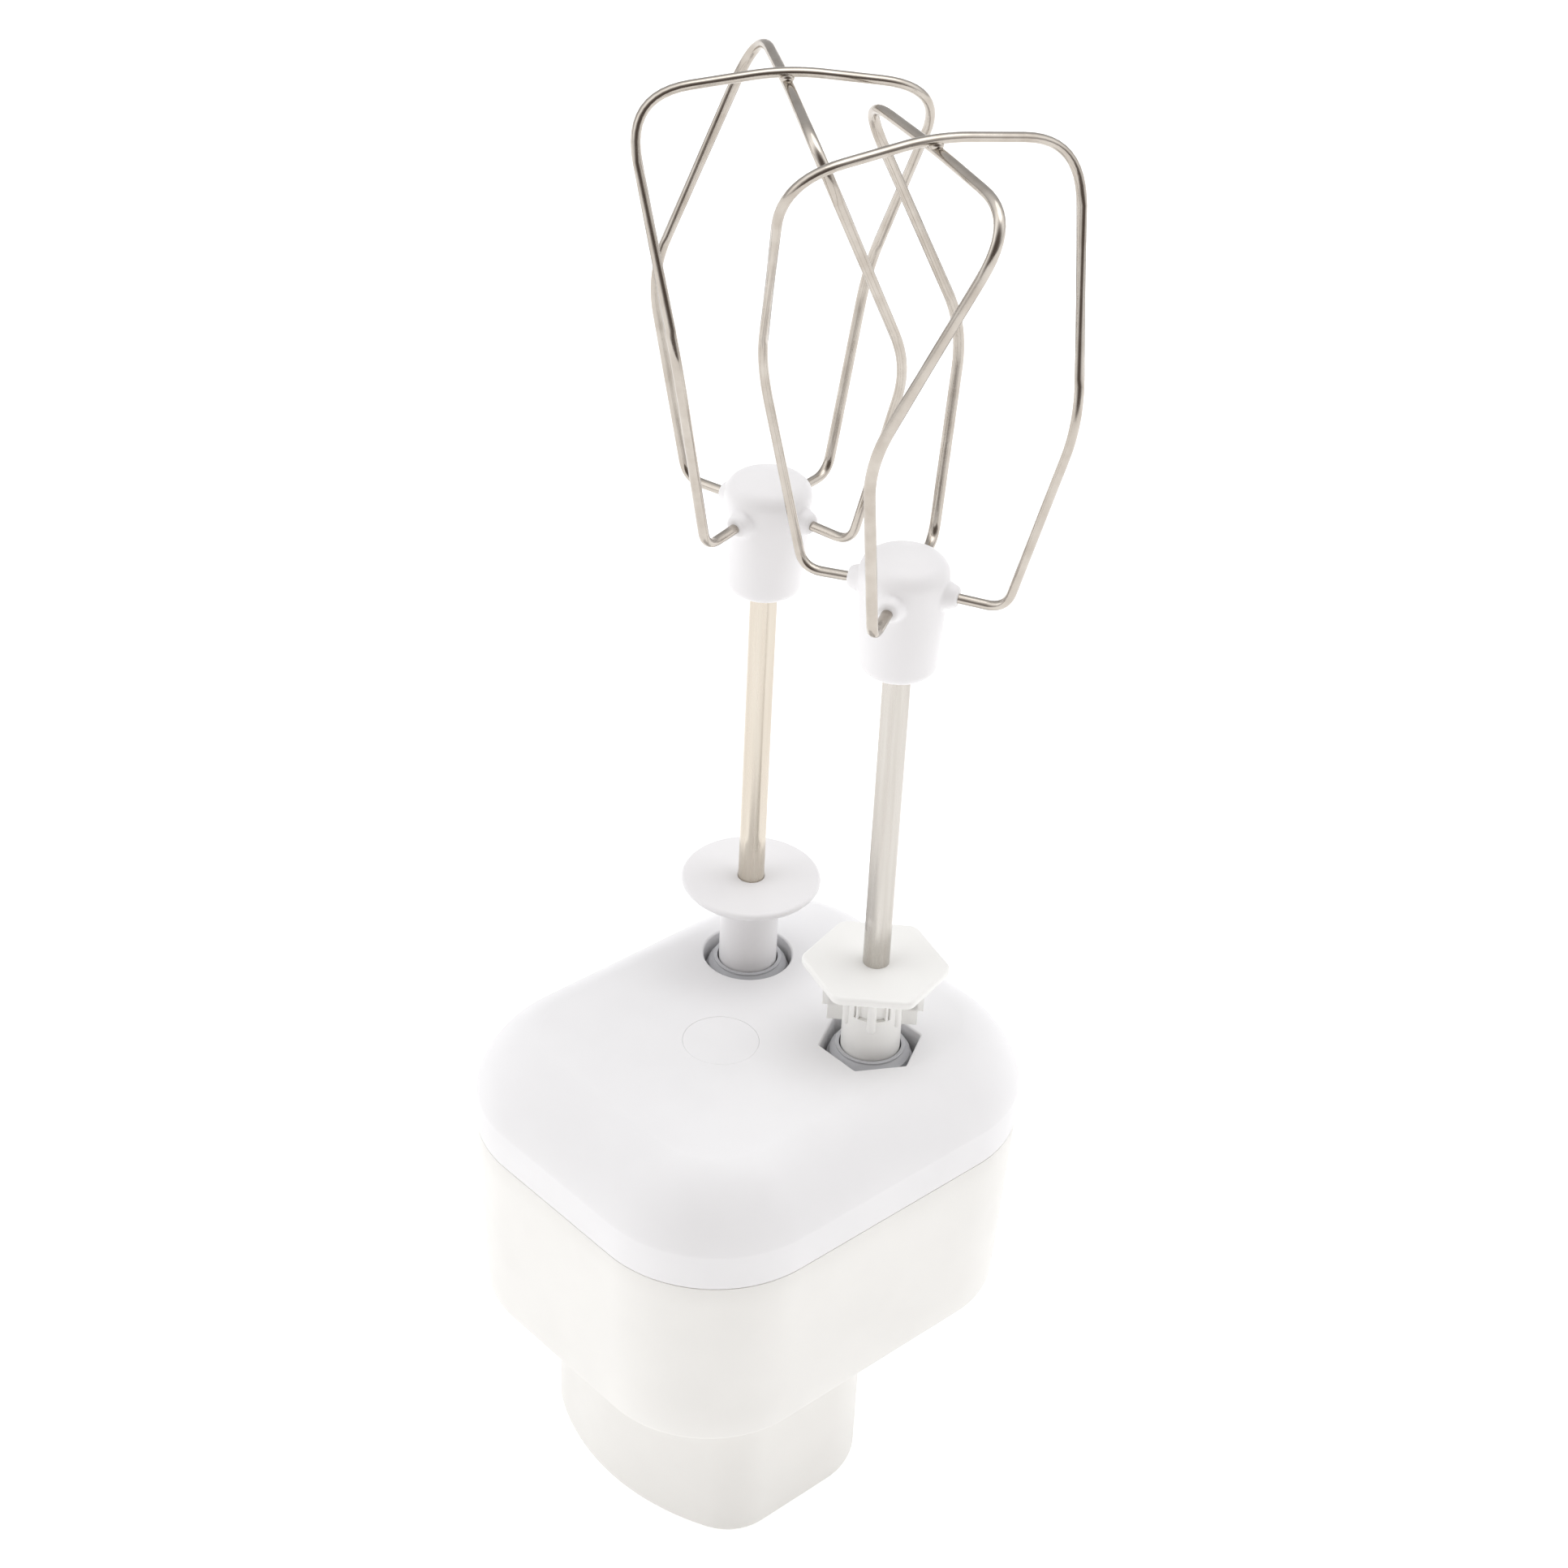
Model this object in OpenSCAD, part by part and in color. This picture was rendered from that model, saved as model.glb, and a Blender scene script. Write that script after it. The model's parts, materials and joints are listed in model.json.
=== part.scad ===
// Compact hand mixer, standing on the end of its grip with both beaters pointing up.
// Origin: centre of the grip's end face. +X runs to the hexagonal socket, +Y to the nose, +Z to the beaters.
// Millimetres.

/* [Body] */
// Width of the head across the two sockets
head_w = 80.4; // [79:0.2:84]
// Depth of the head from its back to its nose
head_d = 94.6; // [93:0.2:98]
// Wall of the mouldings
wall = 2.2; // [1.8:0.1:2.4]

/* [Beaters] */
// Distance between the two beater axes
socket_pitch = 35; // [34.8:0.1:35.2]
// Length of each beater above the head
beater_reach = 180.4; // [176:0.2:186]
// Radius of a beater cage at its waist corner, to the wire's centre
cage_r = 27.3; // [26:0.1:27.8]
// Width of the flattened cage wire
wire_w = 2.0; // [1.6:0.1:2.2]

/* [Hidden] */
$fn = 48;
eps = 0.01;

// Heights, from the grip's end face up
rim_z = 39.1;
seam_z = 78.7;
face_z = 99;
seam_gap = 0.5;
cover_low = seam_z + seam_gap / 2;
housing_top = seam_z - seam_gap / 2;

// Head
head_cy = 8.8;
corner_r = 24.6;
rim_taper = 1.8;
edge_w = 11;
edge_h = 13;
edge_flatness = 1.4;
edge_steps = 8;
floor_t = 2.4;
floor_z = rim_z + floor_t;
tongue_h = 3;
tongue_t = 1.2;
tongue_play = 0.15;

// Grip block
grip_hw = 28.6;
grip_front_y = 24.7;
grip_back_y = -24.3;
grip_front_r = 16.2;
grip_back_r = 10.9;
grip_back_cy = -9;
end_edge_r = 1.25;
cap_t = 2;

// Sockets and the plug between them
socket_x = socket_pitch / 2;
socket_y = 23;
round_open_r = 8.6;
hex_open_r = 9.8;
well_low = 92;
well_top = face_z - 1;
well_t = 1.6;
plug_y = 0.9;
plug_r = 7.2;
plug_t = 1.2;
plug_rim_t = 0.85;
plug_rim_h = 1.4;

// Gaps: between parts that move, in a running fit, in a pressed fit, and round a screw that passes through
part_gap = 0.3;
fit_gap = 0.05;
press_gap = 0.02;
screw_gap = 0.25;

// Screws, as [thread radius, length below the head, head radius, head height]
case_screw = [1.05, 9, 2.3, 1.6];
frame_screw = [1.1, 10, 2.3, 1.6];
bridge_screw = [1.05, 10, 2.2, 1.6];
motor_screw = [1.1, 3.6, 2, 1.2];
board_screw = [0.9, 6.5, 1.8, 1.2];
cap_screw_r = 1.05;
cap_screw_len = 8;
cap_head_r = 2.4;
cap_head_h = 1.25;
cap_head_low = 0.1;

// Where the screws stand
post_spots = [[30, 14], [22, 44]];
pillar_spots = [[28, 8.5], [26, 38.5]];
grip_screw_x = 22.5;
grip_screw_y = 14;
cap_screw_x = 23;
cap_screw_y = 8;
cover_screw_z = 94;
motor_screw_x = 8;
board_screw_x = 15;
board_screw_z = 30;

// Worm drive: a single-start worm between two worm wheels
gear_module = 1;
gear_teeth = 28;
gear_r = gear_module * gear_teeth / 2;
worm_r = socket_x - gear_r;
lead = PI * gear_module;
tooth_add = gear_module;
tooth_ded = 1.25 * gear_module;
drive_z = 68;
gear_t = 10;
gear_low = drive_z - gear_t / 2;
gear_high = drive_z + gear_t / 2;
twist_per_mm = 360 * lead / (2 * PI * worm_r) / (2 * PI * gear_r);
worm_y = 12.5;
worm_len = 21;

// Hub of each worm wheel: a journal below, and above it a drum that ends in a cone and a thin lip
journal_r = 4;
journal_low = 52.5;
hub_r = 5.5;
ring_r = 8.15;
ring_shelf_z = 95.5;
cone_r = 7.6;
cone_low = 97;
cone_top = 98.1;
lip_r = 6.6;
lip_top = 98.5;

// Gearbox
plate_z = 53.5;
plate_t = 2.5;
lower_bush_r = 6;
lower_bush_h = 5.5;
bridge_z = 76.5;
bridge_t = 3;
bridge_w = 62;
bridge_y = 6.8;
bridge_d = 35;
upper_bush_r = 9.6;
upper_bush_h = 4.5;
tip_bush_y = 35.5;
tip_bush_r = 3;
tip_bush_h = 3.3;
column_r = 3.5;
column_low = 83;
column_top = 90;
column_arm_w = 14;
column_arm_t = 2.5;

// Motor, lying along Y behind the worm
motor_r = 13.9;
motor_front = 4.5;
motor_seam = -28;
motor_back = -33;
can_t = 1;
can_nose_r = 3.5;
can_nose_h = 2;
rod_r = 1.15;
rod_end = 38.6;
motor_bush_r = 3;

// Beaters
shaft_r = 2.5;
shaft_low = 70;
shaft_top = 196;
flat_w = 4.6;
flats_z = 126.2;
wing_w = 6.6;
wing_t = 1;
wing_low = 73;
wing_h = 6;
sleeve_r = 5.6;
sleeve_low = 88;
flange_top = 117.6;
flange_t = 1.7;
flange_low = flange_top - flange_t;
round_flange_r = 13.4;
hex_flange_r = 13.7;
hex_flange_corner_r = 2.5;
hex_flange_turn = 44.1;
hub_low = 181.4;
hub_high = 204.3;
barrel_low_r = 6.9;
barrel_high_r = 7.9;
boss_z = 197.7;
boss_tip_r = 9.8;
wire_t = 0.835 * wire_w;
cage_top = face_z + beater_reach;
wire_start_r = 4;
round_phase = 281.9;
hex_phase = 209.7;
round_twist = -43.8;
hex_twist = 43.7;

// Ejector: a button on the ledge, a fork above it and a pin under each shaft
button_y = 39.5;
button_w = 18;
button_d = 10;
button_low = 32.5;
button_play = 0.4;
fork_z = 42.3;
fork_t = 2.5;
fork_top = fork_z + fork_t;
pin_r = 2.1;
spring_y = 43.5;
spring_top = 61.5;
spring_r = 3.5;

// Cells, board and the controls on the front of the grip
cell_x = 9.4;
cell_y = -6.5;
cell_r = 9.1;
cell_low = 4.1;
cell_h = 33;
board_y = 12;
board_t = 1.6;
board_face = board_y + board_t;
slot_w = 4.4;
slot_low = 17.6;
slot_high = 30.4;
slider_back = 20.3;
port_z = 8.6;
port_w = 10;
port_h = 4;
flap_w = 14.6;
flap_t = 1;
flap_y = grip_front_y - 0.1 - flap_t / 2;
flap_hinge_z = 5.3;
flap_high = 12.4;
lens_x = 10;
lens_r = 1.2;
lens_back = 22;
front_cut_y = 20;
front_cut_d = grip_front_y - front_cut_y + 1;

// Colours
cool_white = [0.93, 0.93, 0.96];
warm_white = [0.95, 0.94, 0.92];
grey_blue = [0.55, 0.6, 0.66];
steel = [0.72, 0.7, 0.67];
beige_steel = [0.78, 0.75, 0.68];
bronze = [0.7, 0.52, 0.3];
copper = [0.72, 0.4, 0.2];
dark = [0.16, 0.16, 0.17];
cell_blue = [0.2, 0.45, 0.65];
board_green = [0.1, 0.35, 0.2];
clear = [0.9, 0.95, 1];
flap_grey = [0.85, 0.85, 0.88];

// ---------- Helpers ----------

function arc(cx, cy, r, a0, a1, n) = [for (i = [0:n]) let (a = a0 + (a1 - a0) * i / n)
    [cx + r * cos(a), cy + r * sin(a)]];

// Rounded rectangle about the head's centre line, moved in by inset
function head_outline(inset) =
    let (hx = head_w / 2 - corner_r, hy = head_d / 2 - corner_r, r = corner_r - inset)
    [for (q = [0:3]) for (p = arc((q == 0 || q == 3) ? hx : -hx, head_cy + (q < 2 ? hy : -hy),
        r, 90 * q, 90 * q + 90, 10)) p];

// Grip block: round front corners, tighter back corners and a bowed back that meets them smoothly
function grip_outline(inset) =
    let (fx = grip_hw - grip_front_r,
         fy = grip_front_y - grip_front_r,
         bx = grip_hw - grip_back_r,
         h = grip_back_cy - grip_back_y,
         bow_r = (bx * bx + h * h - grip_back_r * grip_back_r) / (2 * (h - grip_back_r)),
         bow_a = atan2(bx, bow_r - h),
         step = bow_a / 5)
    concat(
        arc(fx, fy, grip_front_r - inset, 0, 90, 9),
        arc(-fx, fy, grip_front_r - inset, 90, 180, 9),
        arc(-bx, grip_back_cy, grip_back_r - inset, 180, 270 - bow_a, 6),
        arc(0, grip_back_y + bow_r, bow_r - inset, 270 - bow_a + step, 270 + bow_a - step, 8),
        arc(bx, grip_back_cy, grip_back_r - inset, 270 + bow_a, 360, 6));

module slab(points, z, t) {
    translate([0, 0, z]) linear_extrude(t) polygon(points);
}

// Box of width w centred on X = 0, reaching d along Y from y and h up from z
module bar(w, y, d, z, h) {
    translate([-w / 2, y, z]) cube([w, d, h]);
}

// Upright cylinder between two heights
module post(r, z0, z1) {
    translate([0, 0, z0]) cylinder(r = r, h = z1 - z0);
}

module tube(r_out, r_in, h) {
    difference() {
        cylinder(r = r_out, h = h);
        translate([0, 0, -1]) cylinder(r = r_in, h = h + 2);
    }
}

module at_round() {
    translate([-socket_x, socket_y, 0]) children();
}

module at_hex() {
    translate([socket_x, socket_y, 0]) children();
}

module at_sockets() {
    at_round() children();
    at_hex() children();
}

module at_plug() {
    translate([0, plug_y, 0]) children();
}

module mirrored_x(x, y) {
    for (s = [-1, 1]) translate([s * x, y, 0]) children();
}

module at_spots(spots) {
    for (p = spots) mirrored_x(p[0], p[1]) children();
}

module at_grip_screws() {
    for (y = [-grip_screw_y, grip_screw_y]) mirrored_x(grip_screw_x, y) children();
}

// Turns a shape drawn along Z to lie along Y, starting at y
module along_y(x, y, z) {
    translate([x, y, z]) rotate([-90, 0, 0]) children();
}

module at_motor_screws(y) {
    for (s = [-1, 1]) along_y(s * motor_screw_x, y, drive_z) children();
}

module at_board_screws(y) {
    for (s = [-1, 1]) along_y(s * board_screw_x, y, board_screw_z) children();
}

// Pan-head screw pointing down, with the underside of its head at z = 0 and a cross slot
slot_t = 0.6;
module pan_screw(screw) {
    r = screw[0];
    length = screw[1];
    head_r = screw[2];
    head_h = screw[3];
    translate([0, 0, -length]) cylinder(r = r, h = length + eps);
    difference() {
        cylinder(r = head_r, h = head_h);
        for (a = [0, 90]) rotate(a) bar(head_r, -slot_t / 2, slot_t, head_h / 2, head_h);
    }
}

// ---------- Casings ----------

// Top of the head: straight sides below a sloping edge that is rounded at both ends.
// An edge_flatness of 1 makes a quarter ellipse and 2 a straight slope.
module cover_form(inset, top) {
    hull() {
        slab(head_outline(inset), cover_low - (inset > 0 ? 1 : 0), eps);
        for (i = [0:edge_steps])
            let (a = 90 * i / edge_steps,
                 along = (edge_w - inset / 2) * (1 - pow(cos(a), edge_flatness)),
                 up = edge_h * pow(sin(a), edge_flatness))
            slab(head_outline(inset + along), top - edge_h + up - eps, eps);
    }
}

cover_boss_r = 4.5;
cover_boss_low = column_top + 0.2;
cover_pocket_r = 2.7;

module base_cover() color(cool_white) difference() {
    union() {
        difference() {
            cover_form(0, face_z);
            cover_form(wall, face_z - wall);
        }
        at_round() post(round_open_r + well_t, well_low, well_top);
        at_hex() post(hex_open_r + well_t / cos(30), well_low, well_top, $fn = 6);
        at_plug() post(cover_boss_r, cover_boss_low, face_z - plug_t);
    }
    at_round() post(round_open_r, well_low - 1, face_z + 1);
    at_hex() post(hex_open_r, well_low - 1, face_z + 1, $fn = 6);
    at_plug() {
        post(plug_r + 0.1, face_z - plug_t, face_z + 1);
        post(cover_pocket_r, cover_screw_z, face_z);
        post(case_screw[0] + screw_gap, cover_boss_low - 1, face_z);
    }
}

module face_plug() color(cool_white) at_plug() union() {
    post(plug_r, face_z - plug_t, face_z);
    translate([0, 0, face_z - plug_t - plug_rim_h])
        tube(cover_pocket_r - 0.05, cover_pocket_r - plug_rim_t, plug_rim_h + 0.1);
}

module cover_screw() color(steel) at_plug() translate([0, 0, cover_screw_z]) pan_screw(case_screw);

post_r = 3.2;
post_hole_depth = 8;
wire_way_w = 24;
wire_way_y = 4;
wire_way_d = 7;

// Opening through the floor of the head
module floor_cut(w, y, d) {
    bar(w, y, d, rim_z - 1, floor_t + 2);
}

module main_housing() color(warm_white) difference() {
    union() {
        difference() {
            hull() {
                slab(head_outline(0), housing_top - eps, eps);
                slab(head_outline(rim_taper), rim_z, eps);
            }
            hull() {
                slab(head_outline(wall), housing_top + 1, eps);
                slab(head_outline(rim_taper + wall), floor_z, eps);
            }
        }
        difference() {
            union() {
                slab(head_outline(wall - 0.4), housing_top - 4, 4);
                slab(head_outline(wall + tongue_play), housing_top - 1, tongue_h + 1);
            }
            slab(head_outline(wall + tongue_play + tongue_t), housing_top - 5, tongue_h + 6);
        }
        at_spots(post_spots) post(post_r, floor_z - eps, plate_z);
    }
    at_spots(post_spots) post(frame_screw[0], plate_z - post_hole_depth, plate_z + 1);
    at_grip_screws() post(case_screw[0] + screw_gap, rim_z - 1, floor_z + 1);
    floor_cut(wire_way_w, wire_way_y, wire_way_d);
    floor_cut(button_w + 2 * button_play, button_y - button_d / 2 - button_play, button_d + 2 * button_play);
}

grip_boss_r = 3;
grip_boss_low = 28;
cap_boss_r = 3.6;
cap_boss_top = 14;
board_boss_r = 2.2;
board_boss_len = 10;
board_hole_depth = 6.5;

// Solid parts that hold the grip's screws, cut off at the middle of its wall
module grip_bosses() intersection() {
    slab(grip_outline(wall / 2), 0, rim_z);
    union() {
        at_grip_screws() post(grip_boss_r, grip_boss_low, rim_z);
        mirrored_x(cap_screw_x, cap_screw_y) post(cap_boss_r, cap_t + fit_gap, cap_boss_top);
        at_board_screws(board_face) cylinder(r = board_boss_r, h = board_boss_len);
    }
}

module grip_shell() color(warm_white) difference() {
    union() {
        difference() {
            hull() {
                for (a = [0, 45])
                    slab(grip_outline(end_edge_r * (1 - sin(a))), end_edge_r * (1 - cos(a)), eps);
                slab(grip_outline(0), end_edge_r, rim_z - end_edge_r);
            }
            slab(grip_outline(wall), -1, rim_z + 2);
        }
        grip_bosses();
    }
    at_grip_screws() post(case_screw[0], grip_boss_low + 2, rim_z + 1);
    mirrored_x(cap_screw_x, cap_screw_y) post(cap_screw_r, 0, cap_boss_top - 2);
    at_board_screws(board_face - 1) cylinder(r = board_screw[0], h = board_hole_depth);
    bar(slot_w, front_cut_y, front_cut_d, slot_low, slot_high - slot_low);
    bar(port_w, front_cut_y, front_cut_d, port_z - port_h / 2, port_h);
    bar(flap_w + 2 * part_gap, flap_y - flap_t / 2 - part_gap, wall,
        flap_hinge_z - flap_t / 2 - part_gap, flap_high - flap_hinge_z + flap_t / 2 + 2 * part_gap);
    along_y(lens_x, front_cut_y, port_z) cylinder(r = lens_r + fit_gap, h = front_cut_d);
}

cap_hole_r = 1.35;
module end_cap() color(warm_white) difference() {
    slab(grip_outline(wall + 0.15), 0, cap_t);
    mirrored_x(cap_screw_x, cap_screw_y) {
        post(cap_hole_r, -1, cap_t + 1);
        translate([0, 0, -eps]) cylinder(r1 = cap_head_r + 0.2, r2 = cap_hole_r, h = cap_head_h);
    }
}

module grip_screws() color(steel) at_grip_screws() translate([0, 0, floor_z]) pan_screw(case_screw);

module cap_screws() color(steel) mirrored_x(cap_screw_x, cap_screw_y) union() {
    translate([0, 0, cap_head_low]) cylinder(r1 = cap_head_r, r2 = cap_screw_r, h = cap_head_h);
    post(cap_screw_r, cap_head_low + cap_head_h - eps, cap_head_low + cap_head_h + cap_screw_len);
}

// ---------- Gearbox ----------

wing_plate_w = 68;
wing_plate_d = 25.5;
nose_plate_w = 49;
nose_plate_y = 29;
nose_plate_d = 20;
motor_wall_w = 34;
motor_wall_t = 2;
motor_wall_h = 28.5;
tip_block_w = 12;
tip_block_h = 20.5;
bush_wall = 2.2;
spring_cup_r = 4.3;
spring_cup_t = 1.1;
spring_cup_h = 9;
pillar_r = 2.5;
pillar_hole_depth = 8;

module gearbox_frame() color(dark) difference() {
    union() {
        bar(wing_plate_w, motor_front, wing_plate_d, plate_z, plate_t);
        bar(nose_plate_w, nose_plate_y, nose_plate_d, plate_z, plate_t);
        at_sockets() post(lower_bush_r + bush_wall, plate_z, plate_z + lower_bush_h);
        bar(motor_wall_w, motor_front, motor_wall_t, plate_z, motor_wall_h);
        bar(tip_block_w, tip_bush_y, tip_bush_h, plate_z, tip_block_h);
        translate([0, spring_y, 0]) post(spring_cup_r + spring_cup_t, plate_z, plate_z + spring_cup_h);
        at_spots(pillar_spots) post(pillar_r, plate_z, bridge_z);
    }
    at_sockets() post(lower_bush_r + press_gap, plate_z - 1, plate_z + lower_bush_h + 1);
    at_spots(post_spots) post(frame_screw[0] + screw_gap, plate_z - 1, plate_z + plate_t + 1);
    at_spots(pillar_spots) post(bridge_screw[0], bridge_z - pillar_hole_depth, bridge_z + 1);
    along_y(0, motor_front - 1, drive_z) cylinder(r = can_nose_r + 0.1, h = motor_wall_t + 2);
    at_motor_screws(motor_front - 1) cylinder(r = motor_screw[0] + screw_gap, h = motor_wall_t + 2);
    along_y(0, tip_bush_y - 1, drive_z) cylinder(r = tip_bush_r + press_gap, h = tip_bush_h + 2);
    translate([0, spring_y, 0]) post(spring_cup_r, plate_z - 1, spring_top);
}

column_arm_y = -4;

module bearing_bridge() color(dark) difference() {
    union() {
        bar(bridge_w, bridge_y, bridge_d, bridge_z, bridge_t);
        at_sockets() post(upper_bush_r + well_t, bridge_z, bridge_z + upper_bush_h);
        bar(column_arm_w, bridge_y, motor_wall_t, bridge_z, column_low + column_arm_t - bridge_z);
        bar(column_arm_w, column_arm_y, bridge_y + motor_wall_t - column_arm_y, column_low, column_arm_t);
        at_plug() post(column_r, column_low, column_top);
    }
    at_sockets() post(upper_bush_r + press_gap, bridge_z - 1, bridge_z + upper_bush_h + 1);
    at_spots(pillar_spots) post(bridge_screw[0] + screw_gap, bridge_z - 1, bridge_z + bridge_t + 1);
    at_plug() post(case_screw[0], cover_screw_z - case_screw[1] - 0.5, column_top + 1);
}

module frame_screws() color(steel) at_spots(post_spots)
    translate([0, 0, plate_z + plate_t]) pan_screw(frame_screw);

module bridge_screws() color(steel) at_spots(pillar_spots)
    translate([0, 0, bridge_z + bridge_t]) pan_screw(bridge_screw);

module lower_bushes() color(bronze) at_sockets() translate([0, 0, plate_z])
    tube(lower_bush_r, journal_r + fit_gap, lower_bush_h);

module upper_bushes() color(bronze) at_sockets() translate([0, 0, bridge_z])
    tube(upper_bush_r, ring_r + fit_gap, upper_bush_h);

module worm_tip_bush() color(bronze) along_y(0, tip_bush_y, drive_z)
    tube(tip_bush_r, rod_r + fit_gap, tip_bush_h);

// Outline of the worm wheel: each tooth narrows from root_share to tip_share of the pitch
root_share = 0.72;
tip_share = 0.21;
tooth = [
    [-root_share, -tooth_ded],
    [-tip_share, tooth_add],
    [tip_share, tooth_add],
    [root_share, -tooth_ded]
];
function wheel_points() = [for (i = [0:gear_teeth - 1]) for (q = tooth)
    let (a = (i + q[0] / 2) * 360 / gear_teeth, r = gear_r + q[1])
    [r * cos(a), r * sin(a)]];

bore_gap = 0.1;
sleeve_gap = 0.3;

// Worm wheel with its hub: the slot in the bore drives the wings pressed on the beater's shaft
module drive_gear(phase) difference() {
    union() {
        rotate(phase - twist_per_mm * gear_t / 2) translate([0, 0, gear_low])
            linear_extrude(gear_t, twist = -twist_per_mm * gear_t, slices = 4) polygon(wheel_points());
        post(ring_r, gear_high - eps, ring_shelf_z);
        post(cone_r, ring_shelf_z - eps, cone_low);
        translate([0, 0, cone_low - eps]) cylinder(r1 = cone_r, r2 = lip_r, h = cone_top - cone_low + eps);
        post(lip_r, cone_top - eps, lip_top);
        post(hub_r, plate_z + lower_bush_h + part_gap, gear_low + eps);
        post(journal_r, journal_low, gear_low);
    }
    post(sleeve_r + sleeve_gap, sleeve_low - part_gap, lip_top + 1);
    post(shaft_r + bore_gap, journal_low - 1, sleeve_low);
    rotate(phase) bar(wing_w + 2 * part_gap, -wing_t / 2 - part_gap, wing_t + 2 * part_gap,
        shaft_low, sleeve_low - shaft_low);
}

// The two beaters' keyways are turned so that both wheels mesh with the worm at rest
round_turn = 180 / gear_teeth;
hex_turn = 180;

module round_drive_gear() color(grey_blue) at_round() drive_gear(round_turn);

module hex_drive_gear() color(grey_blue) at_hex() drive_gear(hex_turn);

// Cross-section of the worm: a right-handed thread seen end on, as [share of a turn, share of the depth]
crest = 0.095;
foot = 0.335;
flank = [for (k = [1, 2]) [crest + (foot - crest) * k / 3, 1 - k / 3]];
root = [foot, (foot + 0.5) / 2];
worm_half = concat([[crest, 1]], flank, [for (s = root) [s, 0]]);
function worm_section() =
    let (n = len(worm_half),
         back = [for (i = [n - 1:-1:0]) [-worm_half[i][0], worm_half[i][1]]])
    [for (q = concat([[0, 1]], worm_half, [[0.5, 0]], back))
        let (r = worm_r - tooth_ded + q[1] * (tooth_add + tooth_ded))
        [r * cos(360 * q[0]), r * sin(360 * q[0])]];

// The phase puts a thread space opposite the hexagonal side's tooth
worm_phase = 180 - 360 * (socket_y - worm_y) / lead;
slices_per_turn = 12;

module worm() color(steel) along_y(0, worm_y, drive_z) difference() {
    rotate(worm_phase) linear_extrude(worm_len, twist = -360 * worm_len / lead,
        slices = ceil(slices_per_turn * worm_len / lead), $fn = 12) polygon(worm_section());
    post(rod_r + press_gap, -1, worm_len + 1);
}

// ---------- Motor ----------

magnet_y = -22;
magnet_h = 22;
magnet_t = 2;
magnet_gap_w = 12;
core_y = -19;
core_h = 16;
core_r = 10.4;
winding_y = -21.5;
winding_h = 21;
winding_w = 8.4;
winding_in = 2.6;
winding_d = 4.6;
winding_end = 2.5;
commutator_y = -29;
commutator_h = 6;
commutator_r = 3.5;
brush_d = 3.5;
brush_w = 3;
brush_len = 4.4;
brush_gap = 0.1;
pole_count = 3;
pole_slot_w = 2;
pole_slot_in = 3.5;
pole_slot_r = 2.4;
pole_slot_x = 6.2;

module motor_can() color(steel) difference() {
    union() {
        along_y(0, motor_seam, drive_z) cylinder(r = motor_r, h = motor_front - motor_seam);
        along_y(0, motor_front - eps, drive_z) cylinder(r = can_nose_r, h = can_nose_h);
    }
    along_y(0, motor_seam - 1, drive_z) cylinder(r = motor_r - can_t, h = motor_front - motor_seam);
    along_y(0, 2, drive_z) cylinder(r = motor_bush_r + press_gap, h = 3);
    along_y(0, 2, drive_z) cylinder(r = rod_r + 0.45, h = can_nose_h + 4);
    at_motor_screws(2) cylinder(r = motor_screw[0], h = 4);
}

module motor_magnets() color(dark) along_y(0, magnet_y, drive_z) difference() {
    tube(motor_r - can_t, motor_r - can_t - magnet_t, magnet_h);
    bar(magnet_gap_w, -motor_r, 2 * motor_r, -1, magnet_h + 2);
}

end_cap_depth = motor_seam - motor_back;
module motor_end_cap() color(dark) difference() {
    union() {
        along_y(0, motor_back, drive_z) cylinder(r = motor_r, h = end_cap_depth);
        along_y(0, motor_seam - eps, drive_z) cylinder(r = motor_r - can_t - press_gap, h = 2);
    }
    along_y(0, motor_back + 2, drive_z) cylinder(r = core_r + 0.1, h = end_cap_depth + 1);
    along_y(0, motor_back - 1, drive_z) cylinder(r = motor_bush_r + press_gap, h = 4);
}

module motor_bushes() color(bronze) {
    along_y(0, 2, drive_z) tube(motor_bush_r, rod_r + fit_gap, 2.45);
    along_y(0, motor_back, drive_z) tube(motor_bush_r, rod_r + fit_gap, 2);
}

module carbon_brushes() color(dark) for (a = [0, 180])
    translate([0, motor_seam - 0.5, drive_z]) rotate([0, a, 0])
    translate([commutator_r + brush_gap, 0, -brush_w / 2]) cube([brush_len, brush_d, brush_w]);

module motor_screws() color(steel) for (s = [-1, 1])
    translate([s * motor_screw_x, motor_front + motor_wall_t, drive_z])
    rotate([-90, 0, 0]) pan_screw(motor_screw);

module motor_shaft() color(steel) along_y(0, motor_back + 0.2, drive_z)
    cylinder(r = rod_r, h = rod_end - motor_back);

module armature_core() color(dark) along_y(0, core_y, drive_z) difference() {
    cylinder(r = core_r, h = core_h);
    post(rod_r + press_gap, -1, core_h + 1);
    for (i = [0:pole_count - 1]) rotate(120 * i) {
        translate([pole_slot_in, -pole_slot_w / 2, -1]) cube([core_r, pole_slot_w, core_h + 2]);
        translate([pole_slot_x, 0, 0]) post(pole_slot_r, -1, core_h + 1);
    }
}

// Each pole's winding shows as a loop round its ends
module armature_windings() color(copper) along_y(0, winding_y, drive_z) for (i = [0:pole_count - 1])
    rotate(120 * i + 60) difference() {
        translate([winding_in, -winding_w / 2, 0]) cube([winding_d, winding_w, winding_h]);
        translate([winding_in - 1, -winding_w / 2 - 1, winding_end])
            cube([winding_d + 2, winding_w + 2, winding_h - 2 * winding_end]);
    }

segment_gap = 0.4;
module commutator() color(bronze) along_y(0, commutator_y, drive_z) difference() {
    cylinder(r = commutator_r, h = commutator_h);
    post(rod_r + press_gap, -1, commutator_h + 1);
    for (i = [0:pole_count - 1]) rotate(120 * i)
        translate([commutator_r - 1, -segment_gap / 2, -1]) cube([2, segment_gap, commutator_h]);
}

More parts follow.
